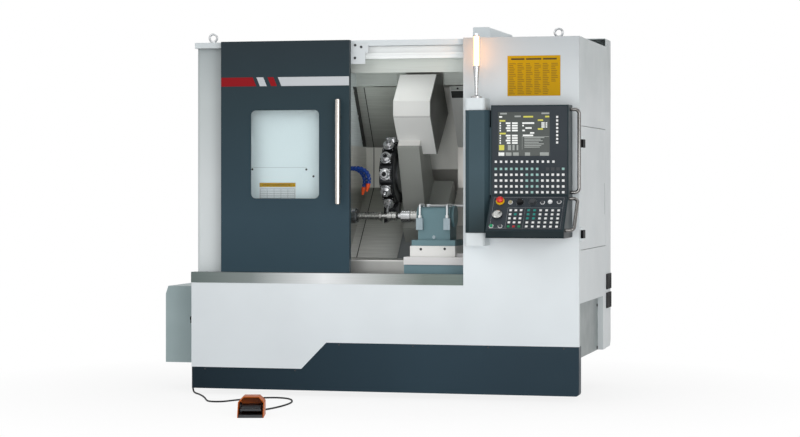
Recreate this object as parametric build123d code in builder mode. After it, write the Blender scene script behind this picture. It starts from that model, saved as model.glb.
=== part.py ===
"""A slant-bed turning lathe with a powered turret, a tailstock, a sliding door and a swivelling control panel.

Millimetres. X runs along the spindle to the right, Y to the back, Z up. The origin lies on the floor
under the middle of the machine. Setbacks are measured from the front cover to the back, and places along
the machine from its left end.
"""

import math
import os

from build123d import *

os.makedirs("parts", exist_ok=True)

# Sizes of the whole machine
body_width = 2115
body_height = 1900
side_depth = 955
cabinet_depth = 181
left_cover_reach = 218
right_handle_reach = 24
pendant_reach = 300
sheet = 3
fold = 30
overrun = 20
running_gap = 0.5
shaft_gap = 0.1

# Places that follow from them
x_left = (left_cover_reach - right_handle_reach - body_width) / 2
x_right = x_left + body_width
front_y = (pendant_reach - side_depth - cabinet_depth) / 2
rear_y = front_y + side_depth

# Kick plate, base and feet
kick_gap = 30
kick_low_top = 145
kick_high_top = 287
kick_step_start = 618
kick_step_end = 756
kick_fold = 70
kick_corner_radius = 18
base_bottom = 60
base_top = 560
base_right_inset = 205
base_rear_inset = 40
base_rear_step = 120
foot_pad_radius = 55
foot_pad_height = 18
foot_stem_radius = 15
foot_nut_radius = 26
foot_nut_height = 14
foot_front_setback = 360
foot_rear_inset = 220
foot_end_inset = 150

# Door opening, sill and door
sill_bottom = 600
sill_height = 57
sill_proud = 2
sill_depth = 62
door_start = 168
door_width = 715
door_thickness = 35
door_gap = 2.5
door_top_drop = 2
right_panel_width = 613
window_width = 379
window_height = 472
window_left = 169
window_rise = 395
window_radius = 26
glass_thickness = 6
glass_lap = 22
handle_radius = 14.5
handle_length = 557
handle_rise = 365
handle_inset = 51
handle_stand = 31
handle_post_radius = 10
handle_post_inset_share = 0.17

# Left column, headstock guard and door beam
column_inset = 6
column_setback = 75
column_lap = 10
column_corner_radius = 22
guard_lap = 20
guard_seam_height = 1221
guard_seam_width = 4
guard_seam_depth = 1.5
beam_height = 66
beam_depth = 40
beam_wall = 4
rail_depth = 16
rail_height = 10
rail_rise = 20
hanger_inset = 95
hanger_width = 60
hanger_height = 74
hanger_plate = 6
roller_radius = 16
roller_width = 12
roller_bore = 4
plate_lap = 30
plate_reach = 79
plate_thickness = 4
plate_bottom_drop = 129
plate_step_drop = 70
plate_top_drop = 18
plate_step_reach = 17
plate_step_inset = 48

# Ceiling liner and roof
liner_drop = 139
liner_rear_inset = 282
liner_rear_drop = 186
hood_slot_gap = 12
roof_front_setback = 40
roof_fold = 31
roof_rib_setback = 300
roof_rib_width = 40
duct_start = 1491
duct_width = 92
duct_setback = 300
duct_height = 78

# Side cover, side door and cabinet
side_bottom = 212
lower_cover_top = 510
lower_cover_rear_inset = 110
lower_cover_lap = 26
side_door_front_setback = 66
side_door_rear_inset = 20
side_door_bottom = 789
side_door_top = 1434
side_door_depth = 25
side_door_gap = 3
latch_width = 16
latch_height = 174
latch_bottom = 963
latch_inset = 30
latch_depth = 12
hinge_radius = 6
hinge_pin_radius = 3
hinge_setback = 60
hinge_leaf_reach = 73
hinge_fixed_reach = 21
hinge_height = 43
hinge_knuckle = 14
hinge_bottoms = (849, 1322)
cabinet_rise = 47
cabinet_edge = 8
cabinet_rear_chamfer = 30
cabinet_panel_inset = 70
cabinet_panel_groove = 6
cabinet_panel_groove_depth = 1.5
cabinet_wall = 4
vent_width = 168
vent_height = 86
vent_bottoms = (436, 541)
vent_proud = 6
vent_frame = 9
vent_slats = 6
vent_slat_share = 0.5

# Lifting eyes
eye_ring_radius = 21
eye_wire_radius = 6
eye_collar_radius = 17
eye_collar_height = 9
eye_left_inset = 81
eye_right_inset = 128
eye_front_setback = 130
eye_rear_inset = 135

# Left end cover
end_cover_setback = 200
end_cover_depth = 500
end_cover_bottom = 150
end_cover_top = 570
end_cover_chamfer_width = 14
end_cover_chamfer_height = 43

# Slant bed, guide rails and way covers
slant = 45
bed_toe_setback = 480
bed_toe_height = 583
bed_crest_inset = 50
bed_rear_inset = 25
bed_left_inset = 150
bed_right_inset = 235
bed_wall = 45
guide_toe_inset = 110
guide_crest_inset = 96
guide_width = 35
guide_waist = 24
guide_height = 28
guide_lip = 12
cover_height = 75
cover_rear_inset = 55
cover_lean_height = 1340
cover_sheet = 2.5
cover_nest = 5
head_length = 740
cover_left_fixed = 100
cover_right_fixed_start = 1525
cover_left_moving_start = 787
cover_left_moving_end = 1020
cover_right_moving_start = 1280
cover_right_moving_end = 1605

# Chip tray
tray_setback = 150
tray_top = 724
tray_bottom = 650
tray_sheet = 2.5

# Spindle, headstock and motor
spindle_setback = 300
spindle_height = 958
wall_hole_radius = 85
wall_bed_clearance = 42
headstock_start = 285
headstock_end_inset = 22
headstock_radius = 150
headstock_foot_front = 150
headstock_foot_rear = 470
headstock_foot_height = 60
headstock_relief_radius = 80
headstock_relief_share = 0.5
motor_start = 110
motor_radius = 138
motor_fins = 6
motor_fin_depth = 10
motor_fin_width = 12
motor_box_width = 90
motor_box_height = 60
spindle_radius = 60
spindle_tail_start = 62
spindle_tail_radius = 44
nose_flange_radius = 74
nose_flange_length = 42
nose_taper_radius = 52
collet_cap_radius = 43.5
collet_cap_start = 807
collet_cap_end = 852
collet_notch = 8

# Workpiece between the centres
stock_radius = 16
stock_grip = 60
thread_radius = 22
thread_root_radius = 17
thread_pitch = 9
thread_turns = 14
ring_radius = 24
ring_width = 22
ring_gap = 4
neck_radius = 13
neck_length = 34
collar_radius = 27
collar_width = 8

# Saddle, turret slide and hood
turret_offset = 321
saddle_start = 985
saddle_end = 1315
saddle_low = 80
saddle_rear_lap = 74
saddle_underside = 8
saddle_top = 68
saddle_rib_width = 20
slide_start = 1045
slide_end = 1275
slide_low = 250
slide_rear_inset = 20
slide_top = 180
housing_start = 1041
housing_end = 1163
housing_front_reach = 97
housing_front_height = 150
housing_top_reach = 42
housing_top_height = 205
housing_rear_reach = 113
housing_corner_radius = 12
hood_start = 1034
hood_end = 1242
hood_sheet = 4
hood_nose_reach = 165
hood_nose_top = 398
hood_nose_bottom = 318
hood_crown_reach = 5
hood_crown_height = 550
hood_crown_depth = 120
hood_rear_reach = 288
hood_rear_height = 344
hood_heel_reach = 1
hood_heel_depth = 14
hood_heel_height = 112

# Travel of the carriage to the left and right, and of the cross slide
carriage_left_travel = 40
carriage_right_travel = 150
cross_travel = 110

# Turret, tool holders and turning tools
turret_start = 950
turret_width = 80
turret_stations = 12
turret_flat_radius = 155
turret_hub_radius = 62
turret_hub_length = 14
turret_cap_radius = 34
turret_neck_radius = 100
turret_edge = 8
turret_bolt_radius = 7
turret_bolt_circle = 100
turret_bolt_depth = 6
turret_bolts = 8
holder_reach = 205
holder_base = 66
holder_base_height = 14
holder_base_chamfer = 9
holder_flange_radius = 33
holder_flange_height = 9
holder_nut_radius = 29
holder_nut_chamfer = 9
holder_nut_slots = 6
holder_slot_width = 8
holder_slot_depth = 5
holder_slot_length = 14
holder_bore_radius = 14
holder_bore_depth = 12
bar_radius = 10
bar_reach = 232
bar_chamfer = 5
drill_radius = 8
drill_point = 12
drill_tip = 1
bar_stations = (120, 210)
tool_block_length = 84
tool_reach = 250
wedge_reach = 271
wedge_short_reach = 222
wedge_thickness = 54
tool_station = 240
wedge_station = 270

# Tailstock
tail_bed_start = 1146
tail_bed_right_inset = 60
tail_bed_rear_setback = 478
tail_bed_top = 742
tail_ledge_height = 41
tail_ledge_reach = 10
tail_rail_setbacks = (226, 396)
tail_rail_width = 34
tail_rail_height = 18
tail_slide_start = 1172
tail_slide_end = 1419
tail_slide_front = 180
tail_slide_rear = 450
tail_slide_top = 800
tail_flange_inset = 4
tail_flange_front = 200
tail_flange_rear = 430
tail_flange_top = 831
tail_body_start = 1207
tail_body_end = 1383
tail_body_half = 80
tail_body_top = 1008
tail_body_radius = 26
tail_cap_radius = 58
tail_cap_length = 14
quill_radius = 32
quill_nose = 1149
quill_length = 190
quill_bore = 12
quill_bore_depth = 70
centre_body_radius = 34
centre_body_length = 50
centre_neck_radius = 17
centre_neck_length = 18
centre_half_angle = 30
pipe_radius = 6
pipe_inset = 13
pipe_stand = 14
pipe_block_width = 36
pipe_block_depth = 28
pipe_block_height = 62
pipe_block_rise = 55
pipe_bend = 9
pipe_rise = 12
fitting_radius = 11
fitting_length = 16
gauge_radius = 10
gauge_depth = 6
gauge_taper = 12

# Coolant hoses
hose_setbacks = (188, 226)
hose_start_height = 1216
hose_reaches = (214, 184)
hose_drops = (82, 100)
hose_bead_length = 17
hose_bead_radius = 12
hose_neck_radius = 8
hose_fitting_radius = 17
hose_fitting_length = 22
hose_bend_share = 0.85
hose_middle_share = 0.5
nozzle_length = 44
nozzle_tip_radius = 5

# Pendant: brackets, post, housing, panels
pendant_axis_place = 1590
pendant_axis_setback = 85
bracket_width = 109
bracket_depth = 55
bracket_radius = 24
top_bracket_bottom = 1515
top_bracket_height = 63
bottom_bracket_bottom = 812
bottom_bracket_height = 67
pin_radius = 14
post_left = 50
post_right = 79
post_front = 62
post_back = 40
post_chamfer = 24
post_neck_front = 40
post_neck_back = 30
post_neck_inset = 90
housing_left = 91
housing_width = 404
housing_back_setback = 30
housing_face_reach = 150
housing_top = 1539
keypad_bottom = 1075
keypad_top = 1225
lip_top = 893
lip_bottom = 857
housing_edge = 6
display_inset = 7
display_proud = 4
desk_proud = 3
desk_inset = 8
screen_width = 270
screen_height = 226
screen_left = 30
screen_top_drop = 36
screen_recess = 3
key_height = 3

# Keys and controls, as shares of the panel that carries them
soft_column_share = 0.87
soft_column_span_shares = (0.30, 0.88)
soft_column_keys = 8
soft_row_share = 0.07
soft_row_span_shares = (0.05, 0.82)
soft_row_keys = 12
soft_key = 15
mdi_columns = 14
mdi_rows = 5
mdi_span_shares = (0.05, 0.95)
mdi_row_shares = (0.10, 0.90)
mdi_key_width = 18
mdi_key_height = 16
mdi_gap_columns = (9,)
desk_key = 17
block_a_columns = 3
block_b_columns = 6
block_rows = 5
block_a_shares = (0.28, 0.42)
block_b_shares = (0.52, 0.92)
block_row_shares = (0.08, 0.56)
estop_shares = (0.12, 0.83)
handwheel_shares = (0.11, 0.42)
feed_knob_shares = (0.39, 0.80)
spindle_knob_shares = (0.56, 0.80)
round_button_shares = ((0.26, 0.80), (0.69, 0.80), (0.79, 0.82), (0.91, 0.82), (0.05, 0.09), (0.17, 0.09))
round_button_radius = 9
round_button_height = 9
estop_collar_radius = 22
estop_collar_height = 8
estop_stem_radius = 10
estop_head_radius = 18
estop_head_height = 14
estop_travel = 5
wheel_radius = 26
wheel_height = 9
wheel_stem_radius = 8
wheel_stand = 8
wheel_knob_radius = 5
wheel_knob_height = 14
wheel_knob_share = 0.7
knob_radius = 14
knob_height = 17
knob_skirt_radius = 18
knob_skirt_height = 4

# Panel handles
grab_radius = 9
grab_reach = 54
grab_bend = 22
grab_face_share = 0.5
grab_end_inset = 14

# Signal lamp
lamp_base_radius = 30
lamp_base_height = 16
lamp_stem_radius = 9
lamp_stem_height = 49
lamp_cone_height = 104
lamp_cone_radius = 17
lamp_tube_radius = 13
lamp_tube_height = 153
lamp_cap_height = 16
lamp_cap_radius = 15

# Foot switch
switch_turn = 14
switch_place = 687
switch_reach = 1117
switch_width = 128
switch_length = 188
switch_height = 96
switch_wall = 4
switch_base_height = 14
switch_chamfer = 26
switch_brow_share = 0.42
pedal_width = 100
pedal_length = 140
pedal_thickness = 10
pedal_axis_height = 44
pedal_axis_inset = 26
pedal_axle_radius = 6
pedal_tilt = 3
pedal_ribs = 6
pedal_rib = 4
pedal_lug = 16

# Cord of the foot switch
cord_radius = 4.5
gland_radius = 11
gland_length = 26
gland_setback = 92
gland_height = 400
gland_reach = 26
switch_gland_radius = 9
switch_gland_height = 12
cord_lead = 40
cord_run_share = 0.45

# Cord route from the elbow to the switch: place along the machine, setback and height
cord_route = [
    (-26, 92, 300),
    (-25, 90, 215),
    (-22, 84, 135),
    (-18, 74, 74),
    (-10, 50, 28),
    (8, 14, 8),
    (32, -26, 5),
    (72, -82, 5),
    (116, -160, 5),
    (163, -257, 5),
    (206, -362, 5),
    (240, -432, 5),
    (281, -449, 5),
    (322, -432, 5),
    (352, -364, 5),
    (400, -268, 5),
    (452, -200, 5),
    (520, -165, 5),
    (581, -179, 5),
    (630, -235, 5),
    (664, -322, 5),
    (683, -410, 5),
    (688, -501, 5),
    (684, -600, 5),
    (672, -690, 5),
    (655, -765, 5),
    (640, -820, 8),
]


def save(piece, name):
    """Label a finished piece and write it to its own file."""
    piece.part.label = name
    export_step(piece.part, f"parts/{name}.step")


def along(place):
    """Where a place measured from the left end lies on X."""
    return x_left + place


def behind(setback):
    """Where a setback measured from the front cover lies on Y."""
    return front_y + setback


def facing(y):
    """A plane that looks to the front: right and up. Depth to the back is negative."""
    return Plane(origin=(0, y, 0), x_dir=(1, 0, 0), z_dir=(0, -1, 0))


def across(x):
    """A plane across the machine: back and up. Depth to the right is positive."""
    return Plane(origin=(x, 0, 0), x_dir=(0, 1, 0), z_dir=(1, 0, 0))


def block(x0, x1, y0, y1, z0, z1, mode=Mode.ADD):
    """Add a plain block between six limits."""
    with Locations(((x0 + x1) / 2, (y0 + y1) / 2, (z0 + z1) / 2)):
        Box(x1 - x0, y1 - y0, z1 - z0, mode=mode)


def prism(plane, points, depth, mode=Mode.ADD):
    """Add a prism over a closed outline."""
    with BuildSketch(plane) as outline:
        with BuildLine():
            Polyline(*points, close=True)
        make_face()
    extrude(outline.sketch, amount=depth, mode=mode)


def folded(plane, points, thickness, depth):
    """Add a sheet that follows a line of folds, thickened to its left."""
    with BuildSketch(plane) as section:
        with BuildLine():
            Polyline(*points)
            offset(amount=thickness, kind=Kind.INTERSECTION, side=Side.LEFT)
        make_face()
    extrude(section.sketch, amount=depth)


def turned(plane, points):
    """Add a turned form: points are place along the axis and radius, on a plane whose x is the axis."""
    with BuildSketch(plane) as profile:
        with BuildLine():
            Polyline((points[0][0], 0), *points, (points[-1][0], 0), close=True)
        make_face()
    revolve(profile.sketch, axis=Axis(plane.origin, plane.x_dir))


def shares_between(limits, count):
    """Evenly spaced values from the first limit to the last."""
    return [limits[0] + (limits[1] - limits[0]) * n / (count - 1) for n in range(count)]


# Places of the door and its surroundings
door_x0 = along(door_start)
door_x1 = door_x0 + door_width
right_panel_x = x_right - right_panel_width
door_travel = right_panel_x - door_x1 - door_gap
sill_top = sill_bottom + sill_height
door_z0 = sill_top + door_gap
door_z1 = body_height - door_top_drop
column_y = behind(column_setback)
guard_y = column_y + sheet
guard_x1 = door_x0 + door_travel + guard_lap
beam_y = guard_y
beam_top = body_height - sheet - roof_fold
beam_bottom = beam_top - beam_height
liner_rear_bottom = beam_top - liner_rear_drop
wall_x = along(head_length)
wall_face = wall_x + sheet

# The slanted frame: s runs up the bed, h stands off its face
slant_cos = math.cos(math.radians(slant))
slant_sin = math.sin(math.radians(slant))
bed_toe_y = behind(bed_toe_setback)
bed_length = (rear_y - bed_rear_inset - bed_crest_inset - bed_toe_y) / slant_cos
guide_places = (guide_toe_inset, bed_length - guide_crest_inset)
saddle_high = bed_length + saddle_rear_lap
slide_high = saddle_high - slide_rear_inset


def slope(x):
    """A plane across the machine that lies along the slanted bed."""
    return Plane(origin=(x, bed_toe_y, bed_toe_height), x_dir=(0, slant_cos, slant_sin), z_dir=(1, 0, 0))


def from_slope(s, h):
    """Y and Z of a point on the slanted frame."""
    return (bed_toe_y + s * slant_cos - h * slant_sin, bed_toe_height + s * slant_sin + h * slant_cos)


spindle_y = behind(spindle_setback)
spindle_z = spindle_height
spindle_line = Plane(origin=(0, spindle_y, spindle_z), x_dir=(1, 0, 0), z_dir=(0, -1, 0))
turret_y = spindle_y + turret_offset * slant_cos
turret_z = spindle_z + turret_offset * slant_sin
turret_line = Plane(origin=(0, turret_y, turret_z), x_dir=(1, 0, 0), z_dir=(0, -1, 0))


def by_turret(back, up):
    """Y and Z of a point set off from the axis of the turret."""
    return (turret_y + back, turret_z + up)



# Feet under the base
base_x0 = x_left + sheet
base_x1 = x_right - base_right_inset
base_front = behind(kick_fold)
base_rear = rear_y - base_rear_inset
foot_xs = (base_x0 + foot_end_inset, (base_x0 + base_x1) / 2, base_x1 - foot_end_inset)
foot_ys = (behind(foot_front_setback), rear_y - foot_rear_inset)
with BuildPart() as levelling_feet:
    for foot_x in foot_xs:
        for foot_y in foot_ys:
            foot_axis = Plane(origin=(foot_x, foot_y, 0), x_dir=(0, 0, 1), z_dir=(1, 0, 0))
            foot_steps = [
                (0, foot_pad_radius),
                (foot_pad_height / 2, foot_pad_radius),
                (foot_pad_height, foot_pad_radius / 2),
                (foot_pad_height, foot_stem_radius),
                (base_bottom, foot_stem_radius),
            ]
            turned(foot_axis, foot_steps)
            with BuildSketch(Plane.XY.offset(base_bottom - foot_nut_height)) as foot_nut:
                with Locations((foot_x, foot_y)):
                    RegularPolygon(foot_nut_radius, 6)
            extrude(foot_nut.sketch, amount=foot_nut_height)
save(levelling_feet, "levelling_feet")

# Welded base with a step at its rear
with BuildPart() as base_frame:
    base_outline = [
        (base_front, base_bottom),
        (base_rear - base_rear_step, base_bottom),
        (base_rear, base_bottom + base_rear_step),
        (base_rear, base_top),
        (base_front, base_top),
    ]
    prism(across(base_x0), base_outline, base_x1 - base_x0)
save(base_frame, "base_frame")

# Slant bed: a hollow casting with two guide rails on its face
bed_x0 = along(bed_left_inset)
bed_x1 = x_right - bed_right_inset
bed_rear_y = rear_y - bed_rear_inset
bed_crest = from_slope(bed_length, 0)
with BuildPart() as slant_bed:
    bed_outline = [
        (bed_toe_y, base_top),
        (bed_rear_y, base_top),
        (bed_rear_y, bed_crest[1]),
        bed_crest,
        (bed_toe_y, bed_toe_height),
    ]
    prism(across(bed_x0), bed_outline, bed_x1 - bed_x0)
    core_foot = base_top + bed_wall
    core_rear = bed_rear_y - bed_wall
    core_front = bed_toe_y + (core_foot - bed_toe_height) + bed_wall / slant_cos
    core_top = core_foot + (core_rear - core_front)
    core_outline = [(core_front, core_foot), (core_rear, core_foot), (core_rear, core_top)]
    prism(across(bed_x0), core_outline, bed_x1 - bed_x0, mode=Mode.SUBTRACT)
    for guide_place in guide_places:
        guide_outline = [
            (guide_place - guide_width / 2, 0),
            (guide_place - guide_waist / 2, guide_lip),
            (guide_place - guide_width / 2, guide_height - guide_lip),
            (guide_place - guide_width / 2, guide_height),
            (guide_place + guide_width / 2, guide_height),
            (guide_place + guide_width / 2, guide_height - guide_lip),
            (guide_place + guide_waist / 2, guide_lip),
            (guide_place + guide_width / 2, 0),
        ]
        prism(slope(bed_x0), guide_outline, bed_x1 - bed_x0)
save(slant_bed, "slant_bed")

# Front cover: one folded sheet round two sides of the door opening
step_start = along(kick_step_start)
step_end = along(kick_step_end)
with BuildPart() as front_cover:
    cover_outline = [
        (x_left, kick_low_top),
        (step_start, kick_low_top),
        (step_end, kick_high_top),
        (x_right, kick_high_top),
        (x_right, body_height),
        (right_panel_x, body_height),
        (right_panel_x, sill_bottom),
        (x_left, sill_bottom),
    ]
    prism(facing(front_y), cover_outline, -fold)
    offset(amount=-sheet, openings=front_cover.faces().sort_by(Axis.Y)[-1], kind=Kind.INTERSECTION)
save(front_cover, "front_cover")

# Kick plate with its slanted step
with BuildPart() as kick_plate:
    kick_outline = [
        (x_left + sheet, kick_gap),
        (x_right, kick_gap),
        (x_right, kick_high_top),
        (step_end, kick_high_top),
        (step_start, kick_low_top),
        (x_left + sheet, kick_low_top),
    ]
    prism(facing(front_y), kick_outline, -kick_fold)
    kick_corner = kick_plate.edges().filter_by(Axis.Y).sort_by(Axis.Z)[0:2].sort_by(Axis.X)[-1]
    fillet(kick_corner, radius=kick_corner_radius)
    offset(amount=-sheet, openings=kick_plate.faces().sort_by(Axis.Y)[-1], kind=Kind.INTERSECTION)
save(kick_plate, "kick_plate")

# Left column: a sheet folded round the left end
column_x0 = x_left + column_inset
column_x1 = door_x0 + column_lap
with BuildPart() as end_column:
    with BuildSketch(Plane.XY.offset(base_top)):
        with BuildLine():
            FilletPolyline(
                (column_x0, rear_y),
                (column_x0, column_y),
                (column_x1, column_y),
                radius=column_corner_radius,
            )
            offset(amount=sheet, kind=Kind.INTERSECTION, side=Side.LEFT)
        make_face()
    extrude(amount=body_height - sheet - roof_fold - base_top)
save(end_column, "end_column")

# Low end cover at the left
end_x0 = x_left - left_cover_reach
with BuildPart() as left_end_cover:
    end_outline = [
        (base_x0, end_cover_bottom),
        (end_x0, end_cover_bottom),
        (end_x0, end_cover_top - end_cover_chamfer_height),
        (end_x0 + end_cover_chamfer_width, end_cover_top),
        (base_x0, end_cover_top),
    ]
    prism(facing(behind(end_cover_setback)), end_outline, -end_cover_depth)
    offset(amount=-sheet, openings=left_end_cover.faces().sort_by(Axis.X)[-1], kind=Kind.INTERSECTION)
save(left_end_cover, "left_end_cover")

# Headstock guard behind the open door, with the seam of its lower panel
with BuildPart() as headstock_guard:
    block(door_x0, guard_x1, guard_y, guard_y + sheet, base_top, beam_bottom)
    seam_z = guard_seam_height
    block(
        door_x0,
        guard_x1,
        guard_y,
        guard_y + guard_seam_depth,
        seam_z - guard_seam_width / 2,
        seam_z + guard_seam_width / 2,
        mode=Mode.SUBTRACT,
    )
save(headstock_guard, "headstock_guard")

# Door beam with the rail that the door hangs on
beam_x0 = column_x0 + column_corner_radius
beam_x1 = right_panel_x + fold
rail_z = beam_bottom + rail_rise
with BuildPart() as door_beam:
    block(beam_x0, beam_x1, beam_y, beam_y + beam_depth, beam_bottom, beam_top)
    block(
        beam_x0,
        beam_x1,
        beam_y + beam_wall,
        beam_y + beam_depth - beam_wall,
        beam_bottom + beam_wall,
        beam_top - beam_wall,
        mode=Mode.SUBTRACT,
    )
    block(column_x1 + sheet, right_panel_x - sheet, beam_y - rail_depth, beam_y, rail_z, rail_z + rail_height)
save(door_beam, "door_beam")

# Ceiling liner: a sheet folded down at the front and the rear, with a slot where the turret hood travels
liner_y = beam_y + beam_depth
liner_rear_y = rear_y - liner_rear_inset
liner_x1 = x_right - fold - sheet
with BuildPart() as ceiling_liner:
    liner_folds = [
        (liner_rear_y, liner_rear_bottom),
        (liner_rear_y, beam_top - sheet),
        (liner_y + sheet, beam_top - sheet),
        (liner_y + sheet, beam_top - liner_drop),
    ]
    folded(across(wall_face), liner_folds[::-1], sheet, liner_x1 - wall_face)
    block(
        along(hood_start) - carriage_left_travel - hood_slot_gap,
        along(hood_end) + carriage_right_travel + hood_slot_gap,
        liner_rear_y - overrun,
        liner_rear_y + sheet + overrun,
        turret_z,
        turret_z + hood_crown_height + cross_travel * slant_sin + hood_slot_gap,
        mode=Mode.SUBTRACT,
    )
save(ceiling_liner, "ceiling_liner")

# Roof with a folded edge, a rib and the cable duct
roof_y = behind(roof_front_setback)
roof_top = body_height - sheet
roof_x0 = column_x0
roof_x1 = x_right - sheet
rib_y = behind(roof_rib_setback)
with BuildPart() as roof_cover:
    block(roof_x0, roof_x1, roof_y, rear_y - sheet, roof_top - roof_fold, roof_top)
    offset(amount=-sheet, openings=roof_cover.faces().sort_by(Axis.Z)[0], kind=Kind.INTERSECTION)
    block(roof_x0, roof_x1, rib_y, rib_y + roof_rib_width, roof_top - roof_fold, roof_top)
    duct_x = along(duct_start)
    block(duct_x, duct_x + duct_width, behind(duct_setback), rear_y, roof_top, roof_top + duct_height)
    duct_ends = roof_cover.edges().filter_by(Axis.Y).group_by(Axis.Z)[-1]
    fillet(duct_ends, radius=cabinet_edge)
save(roof_cover, "roof_cover")

# Right side cover with the opening of the side door and the fixed hinge knuckles
hinge_x = x_right + hinge_radius + running_gap
hinge_y = behind(hinge_setback)
with BuildPart() as right_side_cover:
    side_outline = [
        (behind(fold), lower_cover_top),
        (rear_y - lower_cover_rear_inset, lower_cover_top),
        (rear_y - lower_cover_rear_inset, side_bottom),
        (rear_y, side_bottom),
        (rear_y, body_height),
        (behind(fold), body_height),
    ]
    prism(across(x_right), side_outline, -fold)
    offset(amount=-sheet, openings=right_side_cover.faces().sort_by(Axis.X)[0], kind=Kind.INTERSECTION)
    block(
        x_right - fold,
        x_right + overrun,
        behind(side_door_front_setback) - side_door_gap,
        rear_y - side_door_rear_inset + side_door_gap,
        side_door_bottom - side_door_gap,
        side_door_top + side_door_gap,
        mode=Mode.SUBTRACT,
    )
    for hinge_bottom in hinge_bottoms:
        hinge_top = hinge_bottom + hinge_height
        for knuckle_bottom in (hinge_bottom - running_gap - hinge_knuckle, hinge_top + running_gap):
            with BuildSketch(Plane.XY.offset(knuckle_bottom)) as knuckle:
                with Locations((hinge_x, hinge_y)):
                    Circle(hinge_radius)
                with Locations(((x_right + hinge_x) / 2, hinge_y - hinge_fixed_reach / 2)):
                    Rectangle(hinge_x - x_right, hinge_fixed_reach)
            extrude(knuckle.sketch, amount=hinge_knuckle)
        with BuildSketch(Plane.XY.offset(hinge_bottom - running_gap - hinge_knuckle)) as pin:
            with Locations((hinge_x, hinge_y)):
                Circle(hinge_pin_radius)
        extrude(pin.sketch, amount=hinge_height + 2 * (running_gap + hinge_knuckle))
save(right_side_cover, "right_side_cover")

# Lower side cover, set in behind the folded edge
with BuildPart() as lower_side_cover:
    lower_outline = [
        (behind(kick_fold), side_bottom),
        (rear_y - lower_cover_rear_inset, side_bottom),
        (rear_y - lower_cover_rear_inset, lower_cover_top + lower_cover_lap),
        (behind(fold), lower_cover_top + lower_cover_lap),
        (behind(fold), kick_high_top),
        (behind(kick_fold), kick_high_top),
    ]
    prism(across(x_right - fold), lower_outline, -sheet)
save(lower_side_cover, "lower_side_cover")

# Sill under the door
with BuildPart() as sill:
    sill_folds = [
        (front_y - sill_proud, sill_bottom),
        (front_y - sill_proud, sill_top),
        (behind(sill_depth), sill_top),
    ]
    folded(across(x_left - sill_proud), sill_folds[::-1], sheet, right_panel_x - x_left)
save(sill, "sill")

# Wall between the headstock and the work space
wall_low = from_slope(0, wall_bed_clearance)
wall_run = wall_low[1] - wall_low[0]
wall_rear_y = rear_y - bed_rear_inset
with BuildPart() as spindle_wall:
    wall_outline = [
        (guard_y + sheet, base_top),
        (base_top - wall_run, base_top),
        (wall_rear_y, wall_rear_y + wall_run),
        (wall_rear_y, beam_top - sheet),
        (liner_y, beam_top - sheet),
        (liner_y, beam_bottom),
        (guard_y + sheet, beam_bottom),
    ]
    prism(across(wall_x), wall_outline, sheet)
    with BuildSketch(across(wall_x)) as spindle_hole:
        with Locations((spindle_y, spindle_z)):
            Circle(wall_hole_radius)
    extrude(spindle_hole.sketch, amount=sheet, mode=Mode.SUBTRACT)
save(spindle_wall, "spindle_wall")

# Chip tray in front of the bed
tail_bed_x0 = along(tail_bed_start)
cover_foot_run = from_slope(0, cover_height)[1] - from_slope(0, cover_height)[0]
with BuildPart() as chip_tray:
    tray_rise = tray_top - tray_bottom - cover_nest
    tray_knee = tray_bottom - cover_foot_run - tray_sheet / slant_cos
    tray_folds = [
        (behind(tray_setback), tray_top),
        (behind(tray_setback), tray_bottom),
        (tray_knee, tray_bottom),
        (tray_knee + tray_rise, tray_bottom + tray_rise),
    ]
    folded(across(wall_face), tray_folds, tray_sheet, tail_bed_x0 - wall_face)
save(chip_tray, "chip_tray")


def cover_line(inset):
    """Folds of a way cover, top to foot, set in from the fixed ones."""
    rear = rear_y - cover_rear_inset - inset
    lean = (rear_y - cover_rear_inset - liner_rear_y) / (cover_lean_height - liner_rear_bottom)
    top = (liner_rear_y + sheet - inset, liner_rear_bottom - running_gap - inset)
    foot_h = cover_height + inset
    foot_run = from_slope(0, foot_h)[1] - from_slope(0, foot_h)[0]
    return [
        top,
        (rear, top[1] + (rear - top[0]) / lean),
        (rear, rear + foot_run),
        (tray_top - foot_run, tray_top),
    ]


# Fixed way covers at both ends, and the pair that travels with the saddle
with BuildPart() as way_covers:
    folded(across(wall_face), cover_line(0), cover_sheet, cover_left_fixed)
    fixed_x = along(cover_right_fixed_start)
    folded(across(fixed_x), cover_line(0), cover_sheet, liner_x1 - fixed_x)
save(way_covers, "way_covers")

with BuildPart() as carriage_covers:
    for cover_start, cover_end in (
        (cover_left_moving_start, cover_left_moving_end),
        (cover_right_moving_start, cover_right_moving_end),
    ):
        folded(across(along(cover_start)), cover_line(cover_nest), cover_sheet, cover_end - cover_start)
save(carriage_covers, "carriage_covers")

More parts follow.
